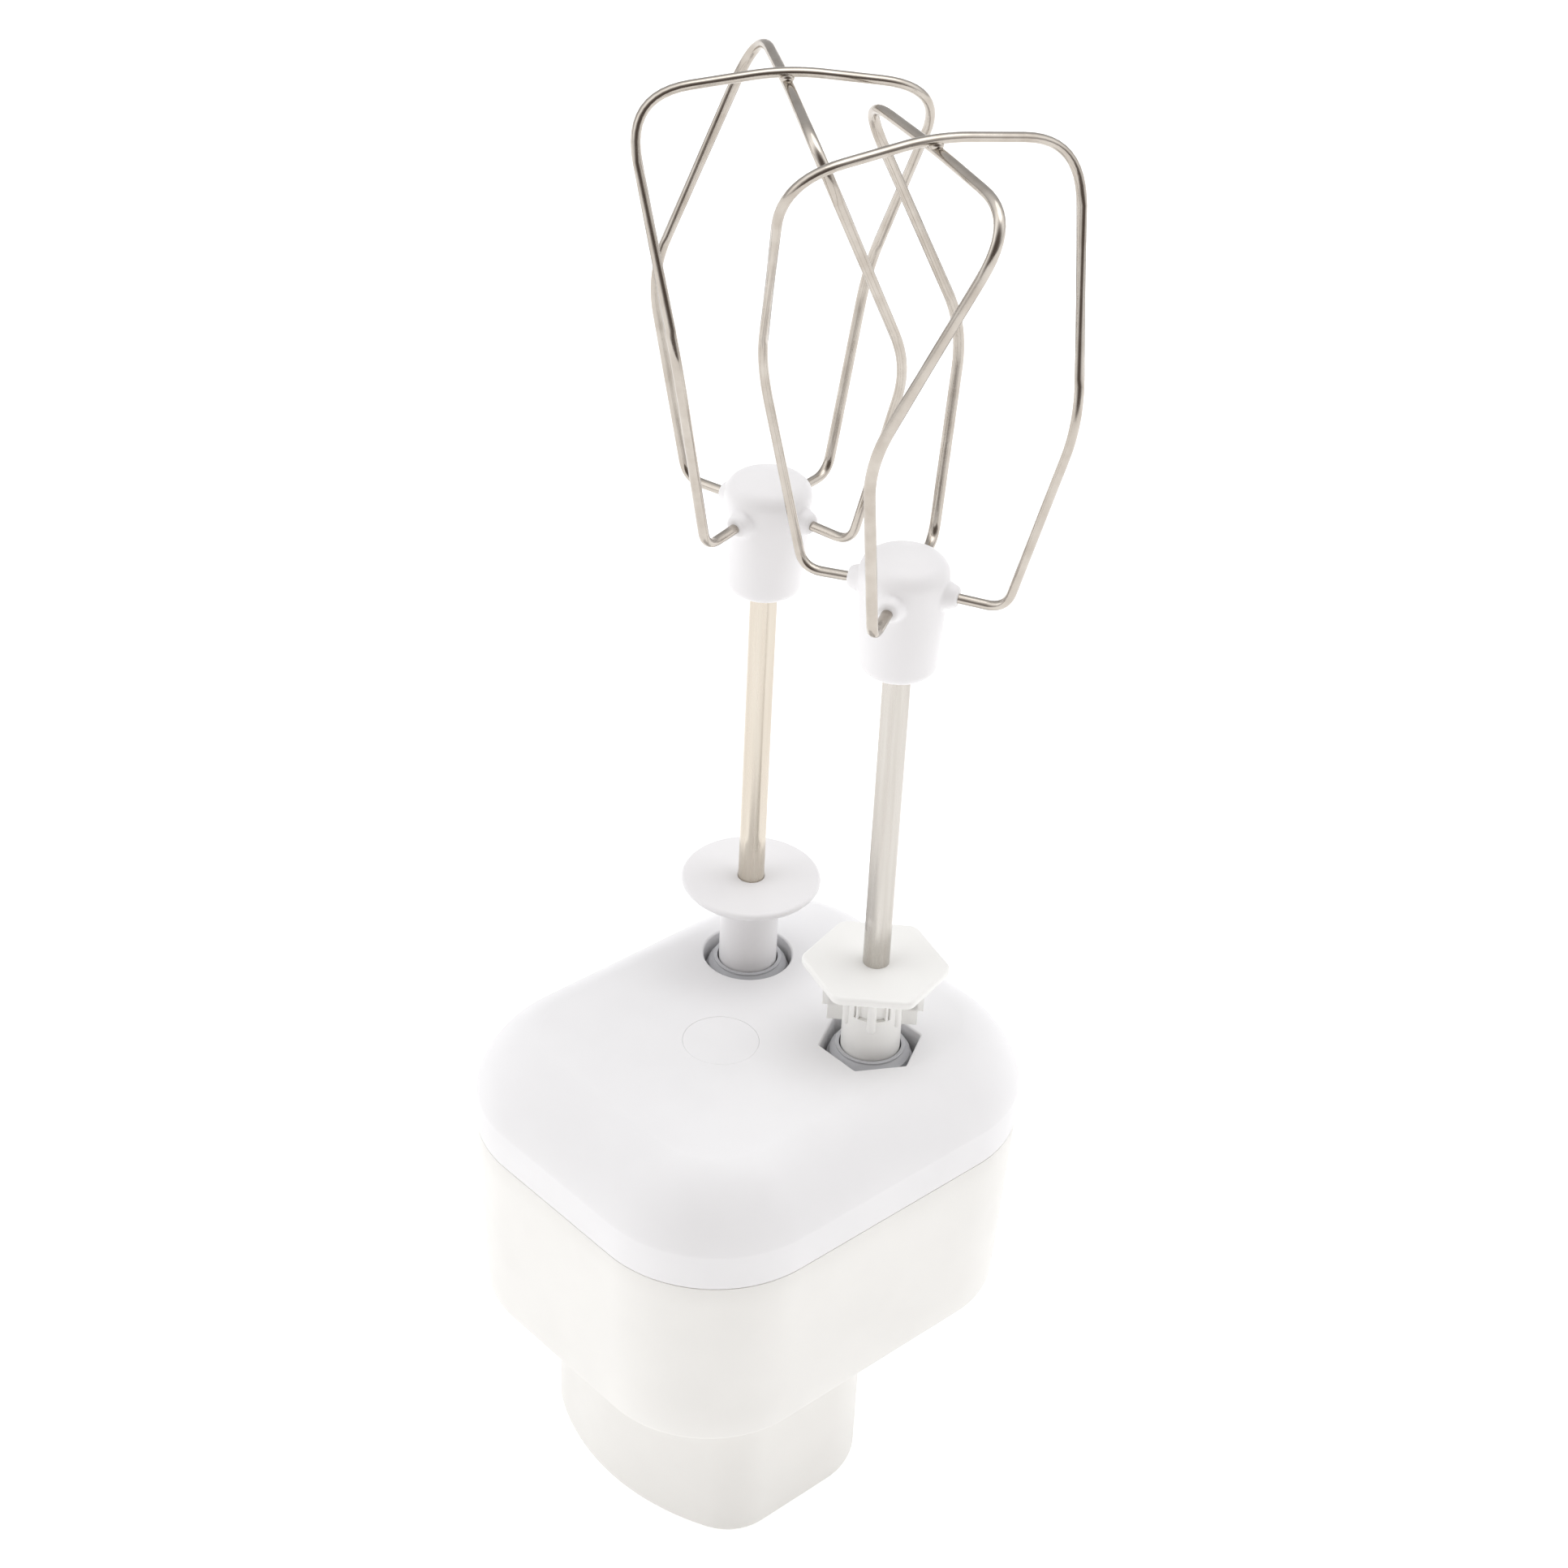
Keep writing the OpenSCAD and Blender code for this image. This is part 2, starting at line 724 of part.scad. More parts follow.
// ---------- Grip contents ----------

holder_w = 38.8;
holder_d = 20.6;
holder_h = 12;
cell_pocket_low = 3.4;
pole_cap_r = 3;
pole_cap_h = 0.9;
strip_t = 0.5;
strip_w = 5;
strip_gap = 0.1;
top_strip_w = 7;

module battery_cells() color(cell_blue) mirrored_x(cell_x, cell_y) union() {
    post(cell_r, cell_low, cell_low + cell_h);
    post(pole_cap_r, cell_low + cell_h - eps, cell_low + cell_h + pole_cap_h);
}

module cell_holder() color(dark) difference() {
    bar(holder_w, cell_y - holder_d / 2, holder_d, cap_t + 0.2, holder_h);
    mirrored_x(cell_x, cell_y) post(cell_r + 0.1, cell_pocket_low, cap_t + holder_h + 1);
    bar(2 * cell_x, cell_y - strip_w / 2 - strip_gap, strip_w + 2 * strip_gap, cell_pocket_low, holder_h);
}

module cell_contacts() color(steel) {
    bar(2 * cell_x + strip_w, cell_y - strip_w / 2, strip_w, cell_low - strip_t - strip_gap, strip_t);
    mirrored_x(cell_x, cell_y)
        bar(top_strip_w, -strip_w / 2, strip_w, cell_low + cell_h + pole_cap_h, strip_t);
}

board_w = 38;
board_low = 6;
board_h = 28;
module control_board() color(board_green) difference() {
    bar(board_w, board_y, board_t, board_low, board_h);
    at_board_screws(board_y - 1) cylinder(r = board_screw[0] + screw_gap, h = board_t + 2);
}

module board_screws() color(steel) for (s = [-1, 1]) translate([s * board_screw_x, board_y, board_screw_z])
    rotate([90, 0, 0]) pan_screw(board_screw);

switch_w = 10;
switch_d = 4;
switch_low = 17;
switch_h = 13;
module slide_switch() color(dark) bar(switch_w, board_face, switch_d, switch_low, switch_h);

socket_w = 9;
socket_d = 8.7;
socket_h = 3.2;
socket_wall = 0.4;
module charging_socket() color(steel) difference() {
    bar(socket_w, board_face, socket_d, port_z - socket_h / 2, socket_h);
    bar(socket_w - 2 * socket_wall, board_face + 2, socket_d, port_z - socket_h / 2 + socket_wall,
        socket_h - 2 * socket_wall);
}

module status_lens() color(clear) along_y(lens_x, lens_back, port_z)
    cylinder(r = lens_r, h = grip_front_y - lens_back);

// ---------- Controls ----------

button_ridge_w = 14;
button_ridge_t = 0.6;
button_ridge_gap = 1.6;

module eject_button() color(grey_blue) union() {
    bar(button_w, button_y - button_d / 2, button_d, button_low, fork_z - button_low);
    for (i = [-2:2]) bar(button_ridge_w, button_y + button_ridge_gap * i - button_ridge_t / 2, button_ridge_t,
        button_low - 0.5, 1);
}

fork_w = 43;
fork_d = 7;
fork_leg_w = 21;
fork_front = 49;
pin_gap = 0.2;
spring_pin_r = 2.6;
spring_pin_h = 7;

module ejector_fork() color(dark) union() {
    bar(fork_w, socket_y - fork_d / 2, fork_d, fork_z, fork_t);
    bar(fork_leg_w, socket_y, fork_front - socket_y, fork_z, fork_t);
    at_sockets() post(pin_r, fork_top - eps, shaft_low - pin_gap);
    translate([0, spring_y, 0]) post(spring_pin_r, fork_top - eps, fork_top + spring_pin_h);
}

function coil_point(r, pitch, a) = [r * cos(a), r * sin(a), pitch * a / 360];

spring_gap = 0.4;
spring_turns = 7;
spring_steps = 12;
spring_sides = 6;
spring_wire_r = 0.35;

// Round wire swept along a coil, closed at both ends
module eject_spring() color(steel) translate([0, spring_y, fork_top + spring_gap]) {
    pitch = (spring_top - fork_top - 2 * spring_gap) / spring_turns;
    points = [for (i = [0:spring_turns * spring_steps])
        let (a = 360 * i / spring_steps, c = coil_point(spring_r, pitch, a))
        for (k = [0:spring_sides - 1]) let (b = 360 * k / spring_sides)
        c + spring_wire_r * [cos(b) * cos(a), cos(b) * sin(a), sin(b)]];
    polyhedron(points, sweep_faces(spring_turns * spring_steps + 1, spring_sides));
}

plate_back_w = 11;
plate_back_t = 1.6;
plate_back_low = 14;
plate_back_h = 12;
neck_w = 3.6;
neck_low = 18;
neck_h = 4;
knob_w = 13;
knob_t = 2.4;
knob_low = 15.5;
knob_h = 9;
knob_ridge_h = 0.9;
knob_ridge_gap = 2;

module speed_slider() color(grey_blue) union() {
    knob_back = grip_front_y + part_gap;
    bar(plate_back_w, slider_back, plate_back_t, plate_back_low, plate_back_h);
    bar(neck_w, slider_back + eps, knob_back - slider_back, neck_low, neck_h);
    bar(knob_w, knob_back, knob_t, knob_low, knob_h);
    for (i = [0:3]) bar(plate_back_w, knob_back + knob_t - eps, 0.6,
        knob_low + 1.1 + knob_ridge_gap * i, knob_ridge_h);
}

lever_w = 2.4;
lever_h = 2;
lever_gap = 0.1;
module switch_lever() color(dark)
    bar(lever_w, board_face + switch_d + lever_gap, slider_back - board_face - switch_d - lever_gap,
        neck_low + 1, lever_h);

flap_tongue_w = 8.8;
flap_tongue_t = 0.8;
flap_tongue_h = 2.6;

// Flap hanging on a rolled edge, with a tongue that fills the port
module port_flap() color(flap_grey) union() {
    bar(flap_w, flap_y - flap_t / 2, flap_t, flap_hinge_z, flap_high - flap_hinge_z);
    translate([-flap_w / 2, flap_y, flap_hinge_z]) rotate([0, 90, 0]) cylinder(d = flap_t, h = flap_w);
    bar(flap_tongue_w, flap_y - flap_t / 2 - flap_tongue_t + 0.1, flap_tongue_t,
        port_z - flap_tongue_h / 2, flap_tongue_h);
}

// ---------- Beaters ----------

// Faces of a tube of rings, each ring listed in the same turning sense
function sweep_faces(rings, sides) = concat(
    [[for (k = [0:sides - 1]) k]],
    [for (i = [0:rings - 2]) for (k = [0:sides - 1]) let (a = i * sides + k, b = i * sides + (k + 1) % sides)
        each [[a, a + sides, b + sides], [a, b + sides, b]]],
    [[for (k = [sides - 1:-1:0]) (rings - 1) * sides + k]]);

// Half of a cage loop as [radius, height, turn, bend length], from inside the hub to the top centre:
// out of the hub, up the flare, along the widest part and over the top
foot_r = 18.1;
foot_z = 197.3;
foot_bend = 3.5;
waist_z = 234.5;
waist_bend = 7;
shoulder_r = 26.7;
shoulder_bend = 10.9;
crown_bend = 6.2;
function half_loop(twist, crown, shoulder) = [
    [wire_start_r, boss_z, 0, 0],
    [foot_r, foot_z, 0, foot_bend],
    [cage_r, waist_z, 0, waist_bend],
    [shoulder_r, shoulder, twist, shoulder_bend],
    [0, crown_corner(crown, shoulder), twist, crown_bend]
];

// Height of the top corner whose bend brings the wire's centre down to the crown
function crown_corner(crown, shoulder) =
    shoulder + shoulder_r * (crown - shoulder) / (shoulder_r - crown_bend / 2);

function turned(r, z, a) = [r * cos(a), r * sin(a), z];

// Corner points with the side direction at each: [position, side, bend length]
function loop_corners(phase, twist, crown, shoulder) =
    let (h = half_loop(twist, crown, shoulder), n = len(h))
    [for (i = [0:2 * n - 2])
        let (c = i < n ? h[i] : h[2 * n - 2 - i], a = phase + c[2], s = i < n ? 1 : -1)
        [turned(s * c[0], c[1], a), [-sin(a), cos(a), 0], c[3]]];

function unit(v) = v / norm(v);

// Each corner becomes a quadratic curve between points a bend length before and after it
bend_steps = 6;
function loop_path(c) = [for (i = [0:len(c) - 1])
    if (i == 0 || i == len(c) - 1) [c[i][0], c[i][1]]
    else let (p = c[i][0],
              a = p + c[i][2] * unit(c[i - 1][0] - p),
              b = p + c[i][2] * unit(c[i + 1][0] - p))
        each [for (k = [0:bend_steps]) let (t = k / bend_steps)
            [a * (1 - t) * (1 - t) + p * 2 * t * (1 - t) + b * t * t, c[i][1]]]];

wire_sides = 12;
module wire(phase, twist, crown, shoulder) {
    path = loop_path(loop_corners(phase, twist, crown, shoulder));
    last = len(path) - 1;
    points = [for (i = [0:last])
        let (ahead = path[min(i + 1, last)][0],
             behind = path[max(i - 1, 0)][0],
             t = unit(ahead - behind),
             side = unit(path[i][1] - (path[i][1] * t) * t),
             up = cross(t, side))
        for (k = [0:wire_sides - 1]) let (a = 360 * k / wire_sides)
        path[i][0] + wire_w / 2 * cos(a) * side + wire_t / 2 * sin(a) * up];
    color(steel) polyhedron(points, sweep_faces(last + 1, wire_sides));
}

// Round rod with two drive wings near its foot, pressed to four flats above the collar
module beater_shaft(turn) color(beige_steel) rotate(turn) {
    post(shaft_r, shaft_low, flats_z);
    intersection() {
        post(shaft_r, flats_z, shaft_top);
        bar(flat_w, -flat_w / 2, flat_w, flats_z, shaft_top - flats_z);
    }
    bar(wing_w, -wing_t / 2, wing_t, wing_low, wing_h);
}

// A sleeve down into the socket, under the flange given as children
module collar_sleeve() difference() {
    union() {
        post(sleeve_r, sleeve_low, flange_low + eps);
        children();
    }
    post(shaft_r + press_gap, sleeve_low - 1, flange_top + 1);
}

module round_collar() color(cool_white) collar_sleeve() post(round_flange_r, flange_low, flange_top);

function hex_flange() = [for (i = [0:5]) let (d = hex_flange_r - hex_flange_corner_r)
    for (p = arc(d * cos(60 * i), d * sin(60 * i), hex_flange_corner_r, 60 * i - 30, 60 * i + 30, 4)) p];

// Below the hexagonal flange, as [reach, drop]: stepped wings at two opposite corners and shallow
// fins at the other four, with a round-ended rib under each flat
fin_t = 1.3;
wing_fins = [[9.5, 8.8], [8.5, 12.1]];
corner_fin = [6.1, 8.4];
rib_r = 0.9;
rib_len = 10.3;
module fin_pair(fin) bar(2 * fin[0], -fin_t / 2, fin_t, flange_low - fin[1], fin[1] + eps);

module hex_collar() color(warm_white) collar_sleeve() rotate(hex_flange_turn) {
    slab(hex_flange(), flange_low, flange_t);
    for (fin = wing_fins) fin_pair(fin);
    for (turn = [60, 120]) rotate(turn) fin_pair(corner_fin);
    for (i = [0:5]) rotate(60 * i + 30) translate([sleeve_r - 0.3, 0, flange_low - rib_len]) {
        cylinder(r = rib_r, h = rib_len + eps);
        sphere(r = rib_r, $fn = 24);
    }
}

barrel_foot_r = 1.6;
dome_r = 3.2;
dome_h = 3.6;
boss_root_r = 3.6;
boss_end_r = 1.9;
boss_start = 5;

// Tapered barrel with a domed top and four bosses that hold the wires' ends
module beater_hub(phase) color(cool_white) difference() {
    union() {
        rotate_extrude() polygon(concat([[0, hub_low]],
            arc(barrel_low_r - barrel_foot_r, hub_low + barrel_foot_r, barrel_foot_r, -90, -8, 4),
            arc(barrel_high_r - dome_r, hub_high - dome_h, dome_r, 0, 62, 5),
            [[0, hub_high]]));
        for (i = [0:3]) rotate(phase + 90 * i) translate([boss_start, 0, boss_z]) rotate([0, 90, 0])
            cylinder(r1 = boss_root_r, r2 = boss_end_r, h = boss_tip_r - boss_start);
    }
    post(shaft_r + press_gap, hub_low - 1, shaft_top + 1);
    for (i = [0:3]) rotate(phase + 90 * i) translate([wire_start_r - 0.1, 0, boss_z]) rotate([0, 90, 0])
        cylinder(r = wire_w / 2 + 0.15, h = boss_tip_r);
}

// Loop A passes over loop B, whose shoulders stand a little higher
crossing_gap = 0.05;
over_crown = cage_top - wire_t / 2;
under_crown = over_crown - wire_t - crossing_gap;
over_shoulder = cage_top - 4.1;
under_shoulder = cage_top - 3.2;

module over_wire(phase, twist) wire(phase, twist, over_crown, over_shoulder);

module under_wire(phase, twist) wire(phase + 90, twist, under_crown, under_shoulder);

module round_beater_shaft() at_round() beater_shaft(round_turn);
module round_beater_collar() at_round() round_collar();
module round_beater_hub() at_round() beater_hub(round_phase);
module round_beater_wire_a() at_round() over_wire(round_phase, round_twist);
module round_beater_wire_b() at_round() under_wire(round_phase, round_twist);
module hex_beater_shaft() at_hex() beater_shaft(hex_turn);
module hex_beater_collar() at_hex() hex_collar();
module hex_beater_hub() at_hex() beater_hub(hex_phase);
module hex_beater_wire_a() at_hex() over_wire(hex_phase, hex_twist);
module hex_beater_wire_b() at_hex() under_wire(hex_phase, hex_twist);

base_cover();
main_housing();
grip_shell();
end_cap();
face_plug();
cover_screw();
grip_screws();
cap_screws();
frame_screws();
bridge_screws();
gearbox_frame();
bearing_bridge();
lower_bushes();
upper_bushes();
worm_tip_bush();
motor_can();
motor_magnets();
motor_end_cap();
motor_bushes();
carbon_brushes();
motor_screws();
motor_shaft();
armature_core();
armature_windings();
commutator();
worm();
battery_cells();
cell_holder();
cell_contacts();
control_board();
board_screws();
slide_switch();
charging_socket();
status_lens();
round_drive_gear();
hex_drive_gear();
round_beater_shaft();
round_beater_collar();
round_beater_hub();
round_beater_wire_a();
round_beater_wire_b();
hex_beater_shaft();
hex_beater_collar();
hex_beater_hub();
hex_beater_wire_a();
hex_beater_wire_b();
eject_button();
ejector_fork();
eject_spring();
speed_slider();
switch_lever();
port_flap();
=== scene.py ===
"""Looks of the compact hand mixer: smooth casings, blended beater hubs, pressed shafts and bent cage wires
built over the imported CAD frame, with procedural materials on every piece. Lengths are in metres."""
import json
import math

import bmesh
import bpy
from mathutils import Matrix, Vector
from mathutils.geometry import tessellate_polygon


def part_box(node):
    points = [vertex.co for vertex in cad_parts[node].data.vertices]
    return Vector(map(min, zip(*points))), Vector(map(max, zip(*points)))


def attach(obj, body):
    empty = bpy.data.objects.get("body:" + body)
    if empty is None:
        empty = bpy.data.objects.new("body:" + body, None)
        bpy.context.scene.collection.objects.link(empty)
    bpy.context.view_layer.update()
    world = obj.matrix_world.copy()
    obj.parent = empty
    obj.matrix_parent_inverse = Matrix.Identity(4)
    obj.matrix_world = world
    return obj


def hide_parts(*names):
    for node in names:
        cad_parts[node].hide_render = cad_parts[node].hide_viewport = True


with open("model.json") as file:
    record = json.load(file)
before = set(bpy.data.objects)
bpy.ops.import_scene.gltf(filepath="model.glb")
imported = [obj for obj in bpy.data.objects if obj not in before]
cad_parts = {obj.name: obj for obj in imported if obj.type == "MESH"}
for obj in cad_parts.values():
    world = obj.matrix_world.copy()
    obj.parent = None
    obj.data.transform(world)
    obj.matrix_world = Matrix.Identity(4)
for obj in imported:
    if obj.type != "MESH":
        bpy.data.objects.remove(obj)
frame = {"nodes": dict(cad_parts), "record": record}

MM = 0.001
TAU = 2 * math.pi
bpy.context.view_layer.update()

# ---------- Places, read from the frame ----------

cover_lo, cover_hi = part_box("base_cover")
housing_lo, housing_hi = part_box("main_housing")
grip_lo, grip_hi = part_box("grip_shell")
plug_lo, plug_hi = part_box("face_plug")
button_lo, button_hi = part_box("eject_button")
slider_lo, slider_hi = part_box("speed_slider")
flap_lo, flap_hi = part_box("port_flap")
socket_lo, socket_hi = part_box("charging_socket")
lens_lo, lens_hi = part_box("status_lens")
HEAD_HALF_X = (housing_hi.x - housing_lo.x) / 2
HEAD_HALF_Y = (housing_hi.y - housing_lo.y) / 2
HEAD_CENTRE_Y = (housing_hi.y + housing_lo.y) / 2
FACE_Z = cover_hi.z
SEAM_CLOSE = 0.15 * MM
COVER_LOW = cover_lo.z - SEAM_CLOSE
RIM_Z = housing_lo.z

# Shape of the mouldings
CORNER_R = 24.6 * MM
EDGE_W = 12 * MM
EDGE_H = 13 * MM
EDGE_FLATNESS = 1.4
EDGE_EASE = 1.2
RIM_TAPER = 1.8 * MM
WALL = 2.2 * MM
SEAM_GAP = 0.13 * MM
SEAM_DEPTH = 0.3 * MM
SEAM_ROUND = 0.12 * MM
SEAM_SOFT = SEAM_ROUND * 0.3
HOUSING_TOP = COVER_LOW - SEAM_GAP


def beater_axis(side):
    lo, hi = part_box(side + "_beater_collar")
    return Vector(((lo.x + hi.x) / 2, (lo.y + hi.y) / 2, 0))


SIDES = ("round", "hex")
AXIS = {side: beater_axis(side) for side in SIDES}

# ---------- Camera, lights and floor ----------

CAMERA_AZ = math.radians(46.495)
CAMERA_EL = math.radians(33.782)
CAMERA_ROLL = math.radians(2.931)
CAMERA_PLACE = Vector((0.3412, -0.3100, 0.4663))
CAMERA_LENS = 71.89
LOW_COLOUR = (0.77, 0.77, 0.78)
HIGH_COLOUR = (1.42, 1.42, 1.43)
FAR_COLOUR = (0.42, 0.42, 0.425)
DIM_COLOUR = (0.12, 0.10, 0.09)
WORLD_STRENGTH = 1.27
DIM_AZ = math.radians(56)
DIM_EL = math.radians(24)
DIM_OUTER = math.radians(70)
DIM_INNER = math.radians(14)
FAR_OUTER = math.radians(95)
FAR_INNER = math.radians(30)


CAMERA_BACK = Vector((math.sin(CAMERA_AZ) * math.cos(CAMERA_EL), -math.cos(CAMERA_AZ) * math.cos(CAMERA_EL),
                      math.sin(CAMERA_EL)))


def make_camera():
    """The photograph's view: azimuth from -Y towards +X, elevation, and a slight roll."""
    right = Vector((math.cos(CAMERA_AZ), math.sin(CAMERA_AZ), 0))
    up = CAMERA_BACK.cross(right)
    rolled_right = right * math.cos(CAMERA_ROLL) + up * math.sin(CAMERA_ROLL)
    rolled_up = up * math.cos(CAMERA_ROLL) - right * math.sin(CAMERA_ROLL)
    data = bpy.data.cameras.new("camera")
    data.lens = CAMERA_LENS
    data.sensor_width = 36
    data.clip_start = 0.01
    camera = bpy.data.objects.new("camera", data)
    bpy.context.scene.collection.objects.link(camera)
    turn = Matrix((rolled_right, rolled_up, CAMERA_BACK)).transposed().to_4x4()
    camera.matrix_world = Matrix.Translation(CAMERA_PLACE) @ turn
    bpy.context.scene.camera = camera


def make_world():
    """White, brighter overhead, greyer behind the object, and dim and warm on the photographer's side."""
    world = bpy.data.worlds.new("studio")
    bpy.context.scene.world = world
    world.use_nodes = True
    nodes, links = world.node_tree.nodes, world.node_tree.links
    coords = nodes.new("ShaderNodeTexCoord")

    def mixed(direction, start, end):
        """A colour mix that goes from A to B as the cosine to a direction goes from start to end."""
        towards = nodes.new("ShaderNodeVectorMath")
        towards.operation = "DOT_PRODUCT"
        towards.inputs[1].default_value = direction
        links.new(coords.outputs["Generated"], towards.inputs[0])
        share = nodes.new("ShaderNodeMapRange")
        share.interpolation_type = "SMOOTHSTEP"
        share.inputs["From Min"].default_value = start
        share.inputs["From Max"].default_value = end
        links.new(towards.outputs["Value"], share.inputs["Value"])
        mix = nodes.new("ShaderNodeMix")
        mix.data_type = "RGBA"
        links.new(share.outputs["Result"], mix.inputs["Factor"])
        return mix

    sky = mixed((0, 0, 1), 0, 1)
    sky.inputs["A"].default_value = (*LOW_COLOUR, 1)
    sky.inputs["B"].default_value = (*HIGH_COLOUR, 1)
    dim_way = (math.sin(DIM_AZ) * math.cos(DIM_EL), -math.cos(DIM_AZ) * math.cos(DIM_EL), math.sin(DIM_EL))
    dim = mixed(dim_way, math.cos(DIM_OUTER), math.cos(DIM_INNER))
    far = mixed((-dim_way[0], -dim_way[1], 0), math.cos(FAR_OUTER), math.cos(FAR_INNER))
    links.new(sky.outputs["Result"], far.inputs["A"])
    far.inputs["B"].default_value = (*FAR_COLOUR, 1)
    links.new(far.outputs["Result"], dim.inputs["A"])
    dim.inputs["B"].default_value = (*DIM_COLOUR, 1)
    shade = nodes["Background"]
    links.new(dim.outputs["Result"], shade.inputs["Color"])
    shade.inputs["Strength"].default_value = WORLD_STRENGTH


def area_light(name, place, target, size, power, colour=(1, 1, 1)):
    data = bpy.data.lights.new(name, "AREA")
    data.shape = "DISK"
    data.size = size
    data.energy = power
    data.color = colour
    light = bpy.data.objects.new(name, data)
    bpy.context.scene.collection.objects.link(light)
    light.location = place
    light.rotation_euler = (Vector(target) - Vector(place)).to_track_quat("-Z", "Y").to_euler()


def make_lights():
    area_light("softbox_left", (-0.9, -1.3, 0.9), (0, 0, 0.1), 0.9, 0.8, (1.0, 0.99, 0.97))
    area_light("softbox_top", (0.1, 0.4, 1.6), (0, 0, 0.1), 1.2, 3.6, (0.97, 0.98, 1.0))
    bpy.context.scene.view_settings.view_transform = "Standard"


# ---------- Materials ----------


class Shader:
    """A Principled material with helpers that wire its procedural detail."""

    def __init__(self, name, colour, rough, metallic=0.0, specular=0.5):
        self.mat = bpy.data.materials.new(name)
        self.mat.use_nodes = True
        self.tree = self.mat.node_tree
        self.main = self.tree.nodes["Principled BSDF"]
        self.main.inputs["Base Color"].default_value = (*colour, 1)
        self.main.inputs["Roughness"].default_value = rough
        self.main.inputs["Metallic"].default_value = metallic
        self.main.inputs["Specular IOR Level"].default_value = specular
        self.colour = colour
        self.place = self.node("ShaderNodeTexCoord")

    def node(self, kind, **values):
        made = self.tree.nodes.new(kind)
        for key, value in values.items():
            if key in made.inputs:
                made.inputs[key].default_value = value
            else:
                setattr(made, key, value)
        return made

    def link(self, out, socket):
        self.tree.links.new(out, socket)

    def noise(self, scale, detail=3.0, stretch=(1, 1, 1)):
        """Noise in object space, with scale in cycles per metre."""
        mapping = self.node("ShaderNodeMapping")
        mapping.inputs["Scale"].default_value = stretch
        self.link(self.place.outputs["Object"], mapping.inputs["Vector"])
        made = self.node("ShaderNodeTexNoise", Scale=scale, Detail=detail)
        self.link(mapping.outputs["Vector"], made.inputs["Vector"])
        return made.outputs["Fac"]

    def ramp(self, source, low, high, start=0.35, end=0.65):
        """source mapped from start..end to low..high."""
        made = self.node("ShaderNodeMapRange")
        made.inputs["From Min"].default_value = start
        made.inputs["From Max"].default_value = end
        made.inputs["To Min"].default_value = low
        made.inputs["To Max"].default_value = high
        self.link(source, made.inputs["Value"])
        return made.outputs["Result"]

    def tint(self, source, other, low=0.35, high=0.65):
        """Mixes the base colour towards another one where source is high."""
        mix = self.node("ShaderNodeMix", data_type="RGBA")
        mix.inputs["A"].default_value = (*self.colour, 1)
        mix.inputs["B"].default_value = (*other, 1)
        self.link(self.ramp(source, 0, 1, low, high), mix.inputs["Factor"])
        self.link(mix.outputs["Result"], self.main.inputs["Base Color"])

    def bump(self, source, depth, strength=1.0):
        """Raises the surface by up to depth metres."""
        made = self.node("ShaderNodeBump")
        made.inputs["Strength"].default_value = strength
        made.inputs["Distance"].default_value = depth
        self.link(source, made.inputs["Height"])
        self.link(made.outputs["Normal"], self.main.inputs["Normal"])

    def rough(self, source, low, high):
        self.link(self.ramp(source, low, high), self.main.inputs["Roughness"])


def darker(colour, share):
    return tuple(c * (1 - share) for c in colour)


def plastic(name, colour, rough=0.45, grain=0.012 * MM, flow=0.03, specular=0.35):
    """Moulded plastic: a fine spark-eroded grain, faint flow marks and slightly uneven gloss."""
    made = Shader(name, colour, rough, specular=specular)
    made.tint(made.noise(45, 2), darker(colour, flow))
    made.rough(made.noise(160, 4), rough - 0.05, rough + 0.07)
    made.bump(made.noise(5200, 3), grain)
    return made.mat


def metal(name, colour, rough, tarnish, grain, stretch=(1, 1, 1), scale=900):
    """Plain metal with drawn streaks, faint tarnish and uneven polish."""
    made = Shader(name, colour, rough, metallic=1.0)
    made.tint(made.noise(scale, 4, stretch), tarnish, 0.35, 0.75)
    made.rough(made.noise(scale * 0.7, 3, stretch), rough - 0.04, rough + 0.08)
    made.bump(made.noise(scale * 5, 2, stretch), grain)
    return made.mat


